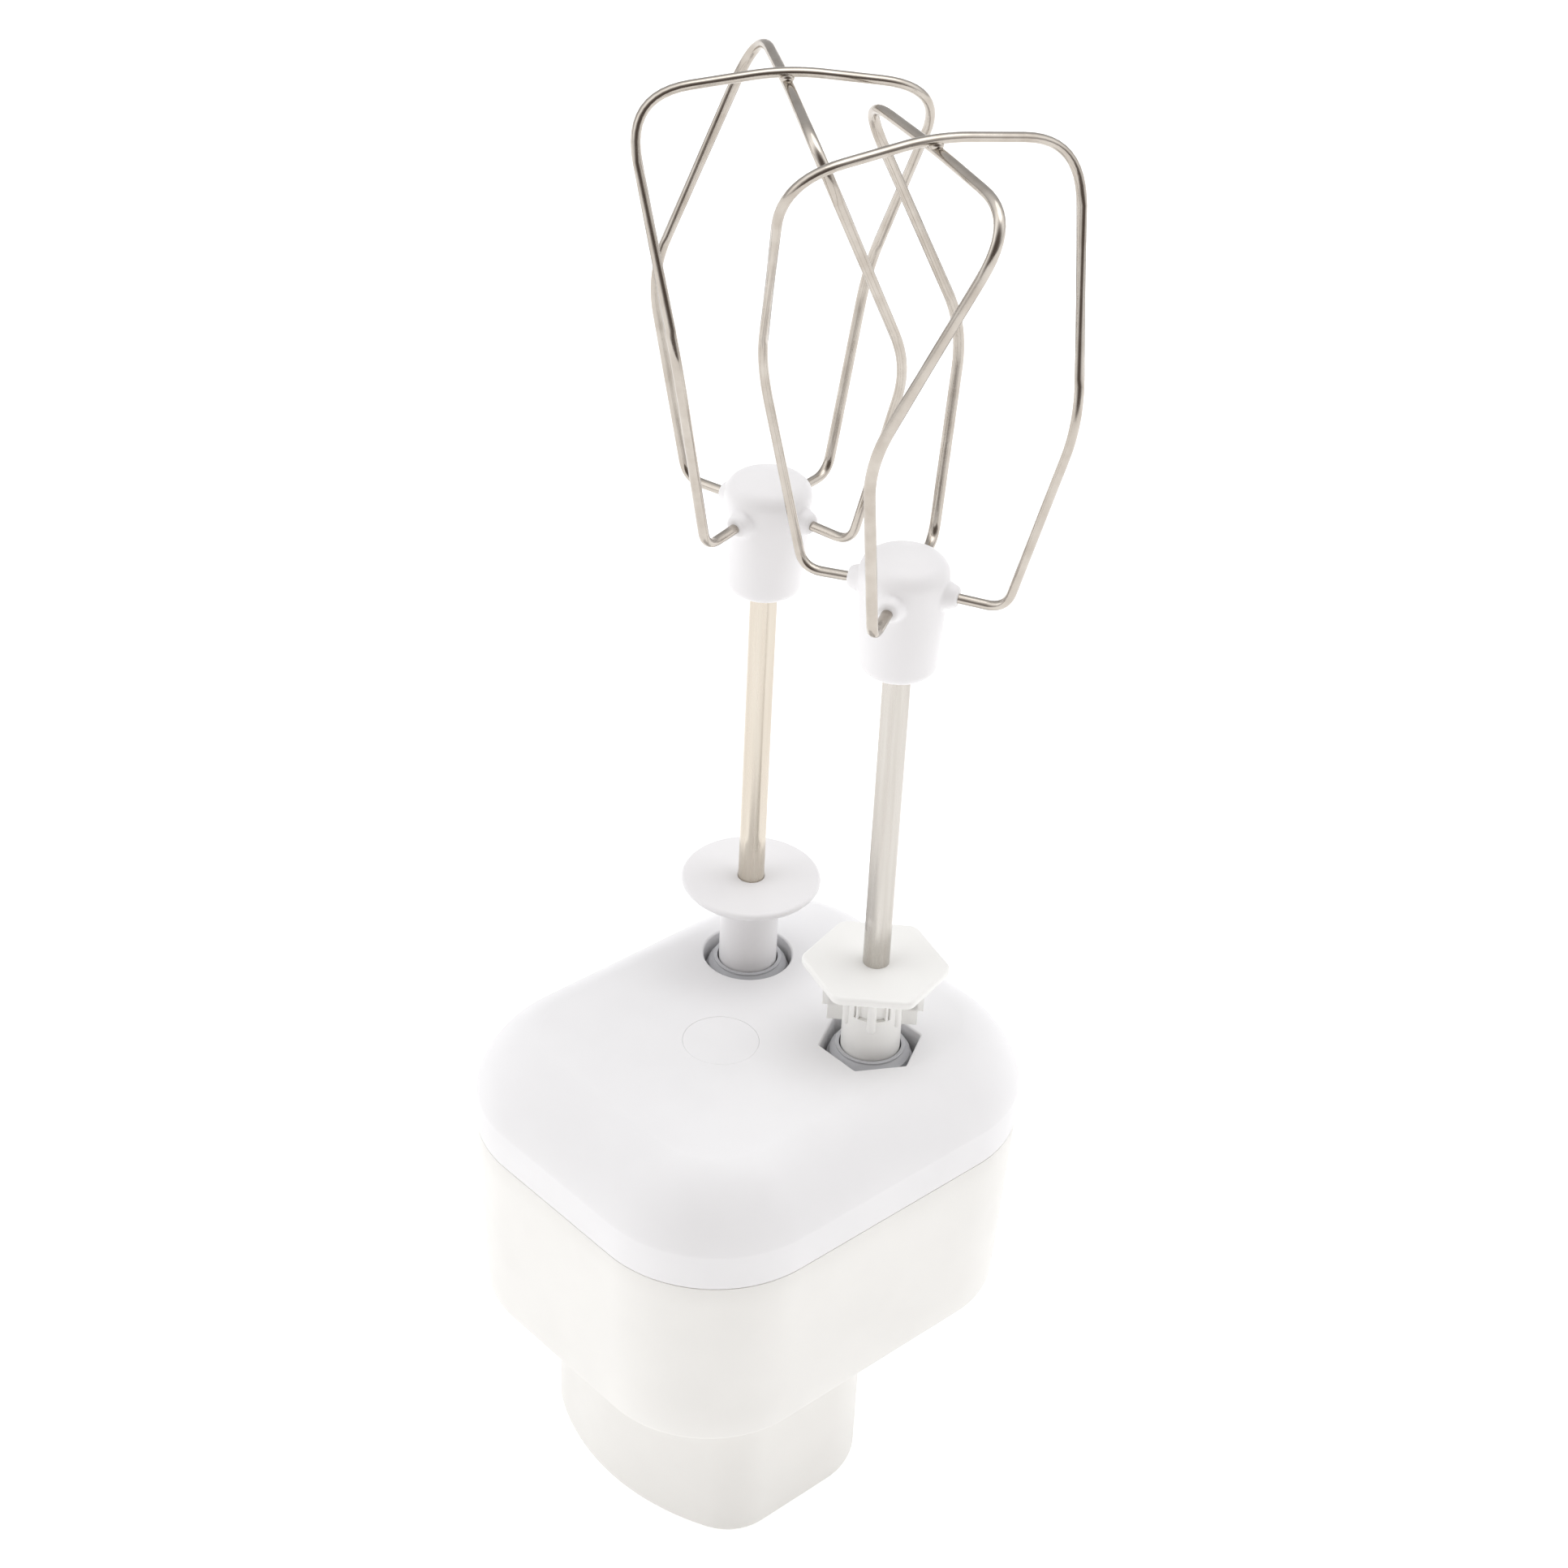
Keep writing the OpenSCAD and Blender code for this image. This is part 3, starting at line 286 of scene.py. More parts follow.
def make_materials():
    mats = {}
    mats["cover_plastic"] = plastic("cover_plastic", (0.855, 0.85, 0.855))
    mats["housing_plastic"] = plastic("housing_plastic", (0.86, 0.85, 0.82))
    mats["beater_plastic"] = plastic("beater_plastic", (0.865, 0.855, 0.86), rough=0.38)
    mats["hex_plastic"] = plastic("hex_plastic", (0.915, 0.91, 0.885), rough=0.38)
    mats["gear_plastic"] = plastic("gear_plastic", (0.575, 0.58, 0.60), rough=0.38, flow=0.12)
    mats["dark_plastic"] = plastic("dark_plastic", (0.035, 0.035, 0.04), rough=0.5, flow=0.2)
    mats["screw_steel"] = metal("screw_steel", (0.55, 0.54, 0.52), 0.32, (0.4, 0.39, 0.37), 0.01 * MM)
    mats["bronze"] = metal("bronze", (0.55, 0.34, 0.14), 0.4, (0.4, 0.24, 0.1), 0.02 * MM)
    mats["magnet"] = plastic("magnet", (0.06, 0.06, 0.065), rough=0.6, grain=0.04 * MM, flow=0.3)
    mats["copper_wire"] = metal("copper_wire", (0.60, 0.25, 0.08), 0.3, (0.45, 0.16, 0.05), 0.02 * MM)
    mats["cell_sleeve"] = plastic("cell_sleeve", (0.05, 0.18, 0.38), rough=0.3, flow=0.1)
    mats["board"] = plastic("board", (0.02, 0.12, 0.05), rough=0.35, flow=0.3)
    mats["lens"] = plastic("lens", (0.8, 0.85, 0.88), rough=0.15, flow=0.02)
    mats["flap_rubber"] = plastic("flap_rubber", (0.72, 0.72, 0.74), rough=0.65, grain=0.02 * MM)
    along = (1, 1, 0.04)
    mats["round_shaft_steel"] = metal("round_shaft_steel", (0.64, 0.59, 0.51), 0.26, (0.59, 0.53, 0.45),
                                      0.006 * MM, along)
    mats["hex_shaft_steel"] = metal("hex_shaft_steel", (0.565, 0.54, 0.50), 0.24, (0.50, 0.47, 0.43),
                                    0.006 * MM, along)
    mats["wire_steel"] = metal("wire_steel", (0.52, 0.48, 0.43), 0.15, (0.43, 0.385, 0.335),
                               0.004 * MM, scale=250)
    mats["shaft_steel"] = mats["round_shaft_steel"]
    return mats


def dress(obj, mat):
    obj.data.materials.clear()
    obj.data.materials.append(mat)


# ---------- Mesh tools ----------


def arc(cx, cy, r, a0, a1, steps):
    """Points on an arc, angles in degrees, both ends included."""
    turns = [math.radians(a0 + (a1 - a0) * i / steps) for i in range(steps + 1)]
    return [(cx + r * math.cos(a), cy + r * math.sin(a)) for a in turns]


def head_outline(inset, steps=24):
    """Plan of the head, moved in by inset, anticlockwise from the nose-right corner."""
    half_x, half_y, r = HEAD_HALF_X - CORNER_R, HEAD_HALF_Y - CORNER_R, CORNER_R - inset
    points = []
    for quarter, (sx, sy) in enumerate(((1, 1), (-1, 1), (-1, -1), (1, -1))):
        points += arc(sx * half_x, HEAD_CENTRE_Y + sy * half_y, r, 90 * quarter, 90 * quarter + 90, steps)
    return points


class Builder:
    """Builds a mesh out of rings of points joined in turn."""

    def __init__(self, name):
        self.name = name
        self.bm = bmesh.new()

    def ring(self, points, z=None):
        return [self.bm.verts.new((p[0], p[1], z if z is not None else p[2])) for p in points]

    def join(self, a, b):
        """Quads from ring a to ring b."""
        n = len(a)
        for i in range(n):
            self.bm.faces.new((a[i], a[(i + 1) % n], b[(i + 1) % n], b[i]))

    def skin(self, rings):
        for a, b in zip(rings, rings[1:]):
            self.join(a, b)

    def loft(self, sections):
        """sections holds (points, z) pairs; returns the rings."""
        rings = [self.ring(points, z) for points, z in sections]
        self.skin(rings)
        return rings

    def lid(self, ring):
        self.bm.faces.new(ring)

    def fill(self, rings):
        """A flat face inside the first ring, with the other rings as holes."""
        corners = [v for ring in rings for v in ring]
        for triangle in tessellate_polygon([[v.co for v in ring] for ring in rings]):
            self.bm.faces.new([corners[i] for i in triangle])

    def done(self, sharp=35):
        bmesh.ops.recalc_face_normals(self.bm, faces=self.bm.faces)
        mesh = bpy.data.meshes.new(self.name)
        self.bm.to_mesh(mesh)
        self.bm.free()
        mesh.shade_smooth()
        mesh.set_sharp_from_angle(angle=math.radians(sharp))
        obj = bpy.data.objects.new(self.name, mesh)
        bpy.context.scene.collection.objects.link(obj)
        return obj


def applied(obj):
    """Gives obj the mesh that its modifiers make, and clears them."""
    graph = bpy.context.evaluated_depsgraph_get()
    mesh = bpy.data.meshes.new_from_object(obj.evaluated_get(graph))
    obj.modifiers.clear()
    obj.data = mesh
    mesh.shade_smooth()
    return obj


def combined(obj, operation, *tools):
    """Cuts the tool pieces out of obj, or joins them to it, and removes them."""
    for tool in tools:
        modifier = obj.modifiers.new("combine", "BOOLEAN")
        modifier.operation = operation
        modifier.solver = "EXACT"
        modifier.use_self = operation == "UNION"
        modifier.object = tool
    applied(obj)
    for tool in tools:
        bpy.data.objects.remove(tool)
    return obj


def cut(obj, *tools):
    return combined(obj, "DIFFERENCE", *tools)


def crisp(obj, width=0.0, sharp=35):
    """Evens out the shading of a cut piece, after rounding its edges by width."""
    obj.data.set_sharp_from_angle(angle=math.radians(sharp))
    if width:
        bevel = obj.modifiers.new("bevel", "BEVEL")
        bevel.width = width
        bevel.segments = 3
        bevel.limit_method = "ANGLE"
        bevel.angle_limit = math.radians(sharp)
        bevel.harden_normals = True
    normals = obj.modifiers.new("normals", "WEIGHTED_NORMAL")
    normals.keep_sharp = True
    return obj


def prism(sections):
    """A closed upright piece through (points, z) sections."""
    b = Builder("tool")
    rings = b.loft(sections)
    b.lid(rings[0])
    b.lid(rings[-1])
    return b.done()


def blended(obj, voxel, passes):
    """Melts a mesh's overlapping shells into one skin with soft inside corners."""
    remesh = obj.modifiers.new("remesh", "REMESH")
    remesh.mode = "VOXEL"
    remesh.voxel_size = voxel
    smooth = obj.modifiers.new("smooth", "SMOOTH")
    smooth.factor = 0.5
    smooth.iterations = passes
    return applied(obj)


def lathe(builder, profile, axis, steps=64):
    """Turns a profile of (radius, height) points, its ends on the axis or closed on themselves."""
    turns = [TAU * i / steps for i in range(steps)]
    rings = []
    for r, z in profile:
        if r < 1e-9:
            rings.append([builder.bm.verts.new((axis.x, axis.y, z))])
        else:
            points = [(axis.x + r * math.cos(a), axis.y + r * math.sin(a)) for a in turns]
            rings.append(builder.ring(points, z))
    for a, b in zip(rings, rings[1:]):
        if len(a) == 1 or len(b) == 1:
            point, ring = (a[0], b) if len(a) == 1 else (b[0], a)
            for i in range(steps):
                builder.bm.faces.new((point, ring[i], ring[(i + 1) % steps]))
        else:
            builder.join(a, b)
    return rings


# ---------- Casings ----------

SOCKET_R = 8.6 * MM
HEX_SOCKET_R = 9.8 * MM
WELL_LOW = 92 * MM
WELL_T = 1.6 * MM
LIP = 0.45 * MM
HEX_SOCKET_CORNER_R = 0.5 * MM
PLUG_T = 1.25 * MM
PLUG_GAP = 0.03 * MM
PLUG_EDGE = 0.04 * MM
FILLET_STEPS = 24

# How much further a hexagon's corners move out than its sides
HEX_SPREAD = 1.15


def hex_outline(centre, across, corner, steps=6):
    """Hexagon with corners on the X axis, of circumradius across and small rounded corners."""
    points = []
    reach = across - corner / math.cos(math.pi / 6)
    for i in range(6):
        a = math.radians(60 * i)
        points += arc(centre.x + reach * math.cos(a), centre.y + reach * math.sin(a), corner,
                      60 * i - 30, 60 * i + 30, steps)
    return points


def circle(centre, r, steps=72):
    return arc(centre.x, centre.y, r, 0, 360 * (steps - 1) / steps, steps - 1)


def socket_cutter(outline):
    """What a socket takes out of the cover; it flares at the face, and outline(grow) gives its plan."""
    sections = [(outline(0), WELL_LOW - WALL)]
    for i in range(6):
        a = math.radians(18 * i)
        sections.append((outline(LIP * (1 - math.cos(a))), FACE_Z - LIP * (1 - math.sin(a))))
    sections.append((outline(LIP), FACE_Z + LIP))
    return prism(sections)


def edge_sections(inset, low, top):
    """The head's straight side and its edge, which turns slowly into the face, moved in by inset."""
    sections = [(head_outline(inset), low)]
    for i in range(FILLET_STEPS + 1):
        a = math.radians(90 * i / FILLET_STEPS)
        grow = (EDGE_W - inset / 2) * (1 - max(math.cos(a), 0) ** EDGE_EASE)
        sections.append((head_outline(inset + grow), top - EDGE_H + EDGE_H * math.sin(a) ** EDGE_FLATNESS))
    return sections


def make_cover():
    """The hollow cover with its two sockets, their wells and the plug's recess."""
    seam = [(head_outline(SEAM_ROUND), COVER_LOW),
            (head_outline(SEAM_SOFT), COVER_LOW + SEAM_SOFT)]
    cover = prism(seam + edge_sections(0, COVER_LOW + SEAM_ROUND, FACE_Z))
    cut(cover, prism(edge_sections(WALL, COVER_LOW - WALL, FACE_Z - WALL)))
    plans = [lambda grow: circle(AXIS["round"], SOCKET_R + grow),
             lambda grow: hex_outline(AXIS["hex"], HEX_SOCKET_R + grow * HEX_SPREAD,
                                      HEX_SOCKET_CORNER_R + grow)]
    wells = [prism([(plan(WELL_T), WELL_LOW), (plan(WELL_T), FACE_Z - WALL / 2)]) for plan in plans]
    combined(cover, "UNION", *wells)
    centre = (plug_lo + plug_hi) / 2
    r = (plug_hi.x - plug_lo.x) / 2 + PLUG_GAP
    recess = prism([(circle(centre, r), FACE_Z - PLUG_T), (circle(centre, r), FACE_Z + WALL)])
    cut(cover, recess, *[socket_cutter(plan) for plan in plans])
    return crisp(cover)


def make_plug():
    """The thin disc set flush in the face."""
    b = Builder("face_disc")
    centre = (plug_lo + plug_hi) / 2
    r = (plug_hi.x - plug_lo.x) / 2
    lathe(b, [(0, FACE_Z), (r - PLUG_EDGE, FACE_Z), (r, FACE_Z - PLUG_EDGE), (r, FACE_Z - PLUG_T),
              (0, FACE_Z - PLUG_T)], centre)
    return b.done()


def rounded_box_outline(lo, hi, r, grow=0.0, steps=5):
    """Plan of a box between two corners with rounded corners."""
    points = []
    centres = ((hi.x - r, hi.y - r), (lo.x + r, hi.y - r), (lo.x + r, lo.y + r), (hi.x - r, lo.y + r))
    for quarter, (x, y) in enumerate(centres):
        points += arc(x, y, r + grow, 90 * quarter, 90 * quarter + 90, steps)
    return points


RIM_ROUND = 0.7 * MM
TONGUE_GAP = 0.15 * MM
TONGUE_T = 1.2 * MM
TONGUE_H = 3 * MM
TONGUE_FOOT_T = 1.6 * MM
TONGUE_FOOT_DROP = 4 * MM
FLOOR_T = 2.4 * MM
MOUTH_CORNER_R = 2 * MM
MOUTH_GAP = 0.4 * MM
MOUTH_CHAMFER = 0.4 * MM


def make_housing():
    """Tapered lower housing with a crisp rim, the tongue that centres the cover, and the button's mouth."""
    b = Builder("housing")
    taper = RIM_TAPER / (HOUSING_TOP - RIM_Z)
    ledge_top = HOUSING_TOP + SEAM_GAP * 0.9
    outer = [(head_outline(SEAM_DEPTH), ledge_top),
             (head_outline(SEAM_DEPTH), HOUSING_TOP),
             (head_outline(SEAM_ROUND), HOUSING_TOP),
             (head_outline(SEAM_SOFT), HOUSING_TOP - SEAM_SOFT),
             (head_outline(0), HOUSING_TOP - SEAM_ROUND)]
    for i in range(1, 9):
        z = HOUSING_TOP - SEAM_ROUND + (RIM_Z + RIM_ROUND - HOUSING_TOP + SEAM_ROUND) * i / 8
        outer.append((head_outline(taper * (HOUSING_TOP - z)), z))
    for i in range(1, 6):
        a = math.radians(18 * i)
        rim = head_outline(RIM_TAPER + RIM_ROUND * (1 - math.cos(a)))
        outer.append((rim, RIM_Z + RIM_ROUND * (1 - math.sin(a))))
    outer_rings = b.loft(outer)
    tongue = WALL + TONGUE_GAP
    inner_rings = b.loft([(head_outline(tongue), ledge_top), (head_outline(tongue), HOUSING_TOP + TONGUE_H),
                          (head_outline(tongue + TONGUE_T), HOUSING_TOP + TONGUE_H),
                          (head_outline(tongue + TONGUE_FOOT_T), HOUSING_TOP - TONGUE_FOOT_DROP),
                          (head_outline(RIM_TAPER + WALL), RIM_Z + FLOOR_T)])
    b.join(outer_rings[0], inner_rings[0])
    mouth = [(rounded_box_outline(button_lo, button_hi, MOUTH_CORNER_R, MOUTH_GAP + flare), z)
             for flare, z in ((MOUTH_CHAMFER, RIM_Z), (0, RIM_Z + MOUTH_CHAMFER), (0, RIM_Z + FLOOR_T))]
    mouth_rings = b.loft(mouth)
    b.fill([outer_rings[-1], mouth_rings[0]])
    b.fill([inner_rings[-1], mouth_rings[-1]])
    return b.done()


# Grip block, in the order of its corners' radii
GRIP_FRONT_R = 16.2 * MM
GRIP_BACK_R = 10.9 * MM
GRIP_BACK_CENTRE_Y = -9 * MM
GRIP_END_R = 1.25 * MM
SLOT_INSET = 4.3 * MM
SLOT_LOW = 17.6 * MM
SLOT_HIGH = 30.4 * MM
SLOT_CORNER_R = 0.8 * MM
PORT_CORNER_R = 1 * MM
FLAP_SEAT_CORNER_R = 0.9 * MM
FLAP_SEAT_LIFT = 0.5 * MM
TRIM_GAP = 0.3 * MM
LAMP_GAP = 0.05 * MM


def grip_outline(inset, steps=20):
    """Rounded front corners, tighter back corners and a bowed back that meets them smoothly."""
    front_x, front_y = grip_hi.x - GRIP_FRONT_R, grip_hi.y - GRIP_FRONT_R
    back_x = grip_hi.x - GRIP_BACK_R
    h = GRIP_BACK_CENTRE_Y - grip_lo.y
    bow_r = (back_x ** 2 + h ** 2 - GRIP_BACK_R ** 2) / (2 * (h - GRIP_BACK_R))
    bow_a = math.degrees(math.atan2(back_x, bow_r - h))
    step = 2 * bow_a / steps
    return (arc(front_x, front_y, GRIP_FRONT_R - inset, 0, 90, steps)
            + arc(-front_x, front_y, GRIP_FRONT_R - inset, 90, 180, steps)
            + arc(-back_x, GRIP_BACK_CENTRE_Y, GRIP_BACK_R - inset, 180, 270 - bow_a, steps // 2)
            + arc(0, grip_lo.y + bow_r, bow_r - inset, 270 - bow_a + step, 270 + bow_a - step, steps - 2)
            + arc(back_x, GRIP_BACK_CENTRE_Y, GRIP_BACK_R - inset, 270 + bow_a, 360, steps // 2))


def front_cutter(lo, hi, r, grow=0.0):
    """A rounded box through the grip's front wall, between two (x, y, z) corners."""
    b = Builder("tool")
    plan = rounded_box_outline(Vector((lo[0], lo[2], 0)), Vector((hi[0], hi[2], 0)), r, grow)
    rings = [[b.bm.verts.new((x, y, z)) for x, z in plan] for y in (lo[1], hi[1])]
    b.skin(rings)
    b.lid(rings[0])
    b.lid(rings[-1])
    return b.done()


def make_grip():
    """Grip block with the slot of the speed slider, the recessed charging port and the lamp's hole."""
    outer = []
    for i in range(7):
        a = math.radians(15 * i)
        outer.append((grip_outline(GRIP_END_R * (1 - math.sin(a))), GRIP_END_R * (1 - math.cos(a))))
    outer += [(grip_outline(0), grip_hi.z / 2), (grip_outline(0), grip_hi.z)]
    grip = prism(outer)
    hollow = prism([(grip_outline(WALL), -WALL), (grip_outline(WALL), grip_hi.z + WALL)])
    front = grip_hi.y
    inside = front - 2 * WALL
    outside = front + WALL
    slot = front_cutter((slider_lo.x + SLOT_INSET, inside, SLOT_LOW),
                        (slider_hi.x - SLOT_INSET, outside, SLOT_HIGH), SLOT_CORNER_R)
    port = front_cutter((socket_lo.x - TRIM_GAP, inside, socket_lo.z - TRIM_GAP),
                        (socket_hi.x + TRIM_GAP, outside, socket_hi.z + TRIM_GAP), PORT_CORNER_R)
    seat = front_cutter((flap_lo.x - TRIM_GAP, flap_lo.y + FLAP_SEAT_LIFT, flap_lo.z - TRIM_GAP),
                        (flap_hi.x + TRIM_GAP, outside, flap_hi.z + TRIM_GAP), FLAP_SEAT_CORNER_R)
    lens_centre = (lens_lo + lens_hi) / 2
    lens_r = (lens_hi.x - lens_lo.x) / 2
    lamp = front_cutter((lens_centre.x - lens_r, inside, lens_centre.z - lens_r),
                        (lens_centre.x + lens_r, outside, lens_centre.z + lens_r), lens_r, LAMP_GAP)
    cut(grip, hollow, slot, port, seat, lamp)
    return crisp(grip)


# ---------- Beaters ----------

SHAFT_R = 2.5 * MM
FLAT_HALF = 2.3 * MM
FLATS_Z = 126.2 * MM
FLATS_BLEND = 2.5 * MM
FLANGE_TOP = 117.6 * MM
SLEEVE_R = 5.6 * MM
SLEEVE_LOW = 88 * MM
FLANGE_T = 1.7 * MM
ROUND_FLANGE_R = 13.4 * MM
HEX_FLANGE_R = 13.7 * MM
HEX_CORNER_R = 2.5 * MM
HEX_TURN = 44.1
hub_lo, hub_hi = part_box("round_beater_hub")
HUB_LOW = hub_lo.z
HUB_HIGH = hub_hi.z
HUB_R0 = 6.9 * MM
HUB_R1 = 7.9 * MM
HUB_FOOT_R = 1.6 * MM
DOME_R = 3.2 * MM
DOME_DROP = 3.9 * MM
BOSS_TIP = 9.8 * MM
BOSS_START = 5 * MM
BOSS_R0 = 3.6 * MM
BOSS_R1 = 1.95 * MM
WIRE_W = 2.0 * MM
WIRE_T = 1.67 * MM
PHASE = {"round": 281.9, "hex": 209.7}
TWIST = {"round": -43.8, "hex": 43.7}

# Corners of half a cage loop: radius, height and the length of its bend
BOSS_Z = 197.7 * MM
WIRE_START_R = 4 * MM
FOOT = (18.1 * MM, 197.3 * MM, 3.5 * MM)
WAIST = (27.3 * MM, 234.5 * MM, 7 * MM)
SHOULDER_R = 26.7 * MM
SHOULDER_BEND = 10.9 * MM
CROWN_BEND = 6.2 * MM
CAGE_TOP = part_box("round_beater_wire_a")[1].z
CROWN = {"a": CAGE_TOP - WIRE_T / 2, "b": CAGE_TOP - 1.5 * WIRE_T - 0.05 * MM}
SHOULDER = {"a": CAGE_TOP - 4.1 * MM, "b": CAGE_TOP - 3.2 * MM}


def make_shaft(side):
    """Round at the collar, then pressed to four flats with a soft run-out."""
    b = Builder(side + "_shaft")
    centre = AXIS[side]
    turn = math.radians(180 / 28 if side == "round" else 180)
    run_out = [FLATS_Z + FLATS_BLEND * i / 8 for i in range(9)]
    heights = [SLEEVE_LOW, FLATS_Z - 4 * MM] + run_out + [HUB_LOW + 4 * MM]
    rings = []
    for z in heights:
        k = min(max((z - FLATS_Z) / FLATS_BLEND, 0), 1)
        k = k * k * (3 - 2 * k)
        points = []
        for i in range(64):
            a = TAU * i / 64
            flat = FLAT_HALF / max(abs(math.cos(a)), abs(math.sin(a)))
            r = SHAFT_R + k * (min(SHAFT_R, flat) - SHAFT_R)
            points.append((centre.x + r * math.cos(a + turn), centre.y + r * math.sin(a + turn)))
        rings.append(b.ring(points, z))
    b.skin(rings)
    b.lid(rings[0])
    b.lid(rings[-1])
    return b.done(sharp=25)


def make_round_collar():
    """Disc with a rounded rim on a straight sleeve."""
    b = Builder("round_collar")
    r, top, t = ROUND_FLANGE_R, FLANGE_TOP, FLANGE_T
    bore = SHAFT_R + 0.02 * MM
    profile = [(bore, SLEEVE_LOW), (bore, top - 0.15 * MM), (SHAFT_R + 0.2 * MM, top)]
    profile += [(x, z) for x, z in arc(r - t * 0.42, top - t * 0.42, t * 0.42, 90, -10, 7)]
    profile += [(x, z) for x, z in arc(r - t * 0.5, top - t + 0.35 * MM, 0.35 * MM, -30, -90, 4)]
    profile += [(SLEEVE_R + 1.2 * MM, top - t - 0.25 * MM)]
    profile += [(x, z) for x, z in arc(SLEEVE_R + 1.0 * MM, top - t - 1.25 * MM, 1.0 * MM, 90, 180, 6)]
    profile += [(SLEEVE_R, SLEEVE_LOW + 0.4 * MM), (SLEEVE_R - 0.4 * MM, SLEEVE_LOW)]
    rings = lathe(b, profile, AXIS["round"], 96)
    b.join(rings[-1], rings[0])
    return b.done()


# Fins under the hexagonal flange, on both sides of its sleeve, as (turn in degrees, reach, drop, thickness)
COLLAR_FINS = ((0, 9.5 * MM, 8.8 * MM, 1.3 * MM), (0, 8.5 * MM, 12.1 * MM, 1.3 * MM),
               (60, 5.6 * MM, 8.4 * MM, 0.5 * MM), (120, 5.6 * MM, 8.4 * MM, 0.5 * MM))
RIB_R = 0.9 * MM
RIB_LEN = 10.3 * MM
POCKET_R = 4.9 * MM
POCKET_DROP = 8.4 * MM
POCKET_HALF = 37.5


def add_box(b, lo, hi, turn, centre):
    """A closed box between two corners, turned about the beater's axis."""
    spin = Matrix.Rotation(math.radians(turn), 4, "Z")
    plan = ((lo[0], lo[1]), (hi[0], lo[1]), (hi[0], hi[1]), (lo[0], hi[1]))
    corners = [(x, y, z) for z in (lo[2], hi[2]) for x, y in plan]
    v = [b.bm.verts.new(spin @ Vector(c) + centre) for c in corners]
    for face in ((3, 2, 1, 0), (4, 5, 6, 7), (0, 1, 5, 4), (1, 2, 6, 5), (2, 3, 7, 6), (3, 0, 4, 7)):
        b.bm.faces.new([v[i] for i in face])


def hex_flange_outline(grow):
    """Plan of the hexagonal flange, its edge moved out by grow."""
    points = []
    for i in range(6):
        a = math.radians(60 * i + HEX_TURN)
        d = HEX_FLANGE_R - HEX_CORNER_R
        points += arc(AXIS["hex"].x + d * math.cos(a), AXIS["hex"].y + d * math.sin(a), HEX_CORNER_R + grow,
                      60 * i - 30 + HEX_TURN, 60 * i + 30 + HEX_TURN, 8)
    return points


def add_rib(b, centre, top, low):
    """A round rib between two heights with a ball-shaped lower end."""
    profile = [(0, low)] + [(RIB_R * math.sin(math.radians(q)), low + RIB_R * (1 - math.cos(math.radians(q))))
                            for q in range(15, 91, 15)]
    lathe(b, profile + [(RIB_R, top), (0, top)], centre, 24)


def pocketed_sleeve():
    """Plan of the hexagonal collar's sleeve just under its flange, with a pocket on two opposite sides."""
    points = []
    for turn in (HEX_TURN, HEX_TURN + 180):
        edge, far_edge = turn + 90 - POCKET_HALF, turn + 90 + POCKET_HALF
        points += arc(AXIS["hex"].x, AXIS["hex"].y, SLEEVE_R - 0.01 * MM, turn - 90 + POCKET_HALF, edge, 12)
        points += arc(AXIS["hex"].x, AXIS["hex"].y, POCKET_R, edge, far_edge, 8)
    return points


def make_hex_collar():
    """Hexagonal flange over two stepped wings, two pockets with thin fins, and six round-ended ribs."""
    b = Builder("hex_collar")
    centre = AXIS["hex"]
    top, low = FLANGE_TOP, FLANGE_TOP - FLANGE_T
    root = low + 0.3 * MM
    edge = ((-0.35, low), (-0.1, low + 0.12 * MM), (0, low + 0.4 * MM), (0, top - 0.6 * MM),
            (-0.06, top - 0.35 * MM), (-0.22, top - 0.14 * MM), (-0.5, top))
    for sections in ([(hex_flange_outline(grow * MM), z) for grow, z in edge],
                     [(circle(centre, SLEEVE_R), SLEEVE_LOW), (circle(centre, SLEEVE_R), low - POCKET_DROP)],
                     [(pocketed_sleeve(), low - POCKET_DROP - 0.5 * MM), (pocketed_sleeve(), root)]):
        rings = b.loft(sections)
        b.lid(rings[0])
        b.lid(rings[-1])
    for turn, reach, drop, t in COLLAR_FINS:
        add_box(b, (-reach, -t / 2, low - drop), (reach, t / 2, root), HEX_TURN + turn, centre)
    for i in range(6):
        a = math.radians(HEX_TURN + 60 * i + 30)
        foot = centre + Vector((math.cos(a), math.sin(a), 0)) * (SLEEVE_R - 0.3 * MM)
        add_rib(b, foot, root, low - RIB_LEN - RIB_R)
    return crisp(b.done(), 0.12 * MM, 40)


def make_hub(side):
    """Tapered barrel with a domed top, its four wire bosses blended in."""
    b = Builder(side + "_hub")
    centre = AXIS[side]
    profile = [(0, HUB_LOW)]
    profile += [(x, z) for x, z in arc(HUB_R0 - HUB_FOOT_R, HUB_LOW + HUB_FOOT_R, HUB_FOOT_R, -90, -5, 8)]
    profile += [(x, z) for x, z in arc(HUB_R1 - DOME_R, HUB_HIGH - DOME_DROP, DOME_R, 0, 70, 10)]
    profile += [(2.5 * MM, HUB_HIGH - 0.15 * MM), (0, HUB_HIGH)]
    lathe(b, profile, centre, 72)
    for k in range(4):
        a = math.radians(PHASE[side] + 90 * k)
        out = Vector((math.cos(a), math.sin(a), 0))
        side_way = Vector((-math.sin(a), math.cos(a), 0))
        rings = []
        cone = ((BOSS_START, BOSS_R0), (BOSS_TIP - 0.3 * MM, BOSS_R1), (BOSS_TIP, BOSS_R1 - 0.25 * MM))
        for reach, r in cone:
            middle = centre + out * reach + Vector((0, 0, BOSS_Z))
            rings.append([b.bm.verts.new(middle + side_way * r * math.cos(TAU * i / 24)
                                         + Vector((0, 0, r * math.sin(TAU * i / 24)))) for i in range(24)])
        b.skin(rings)
        b.lid(rings[0])
        b.lid(rings[-1])
    return blended(b.done(), 0.28 * MM, 5)


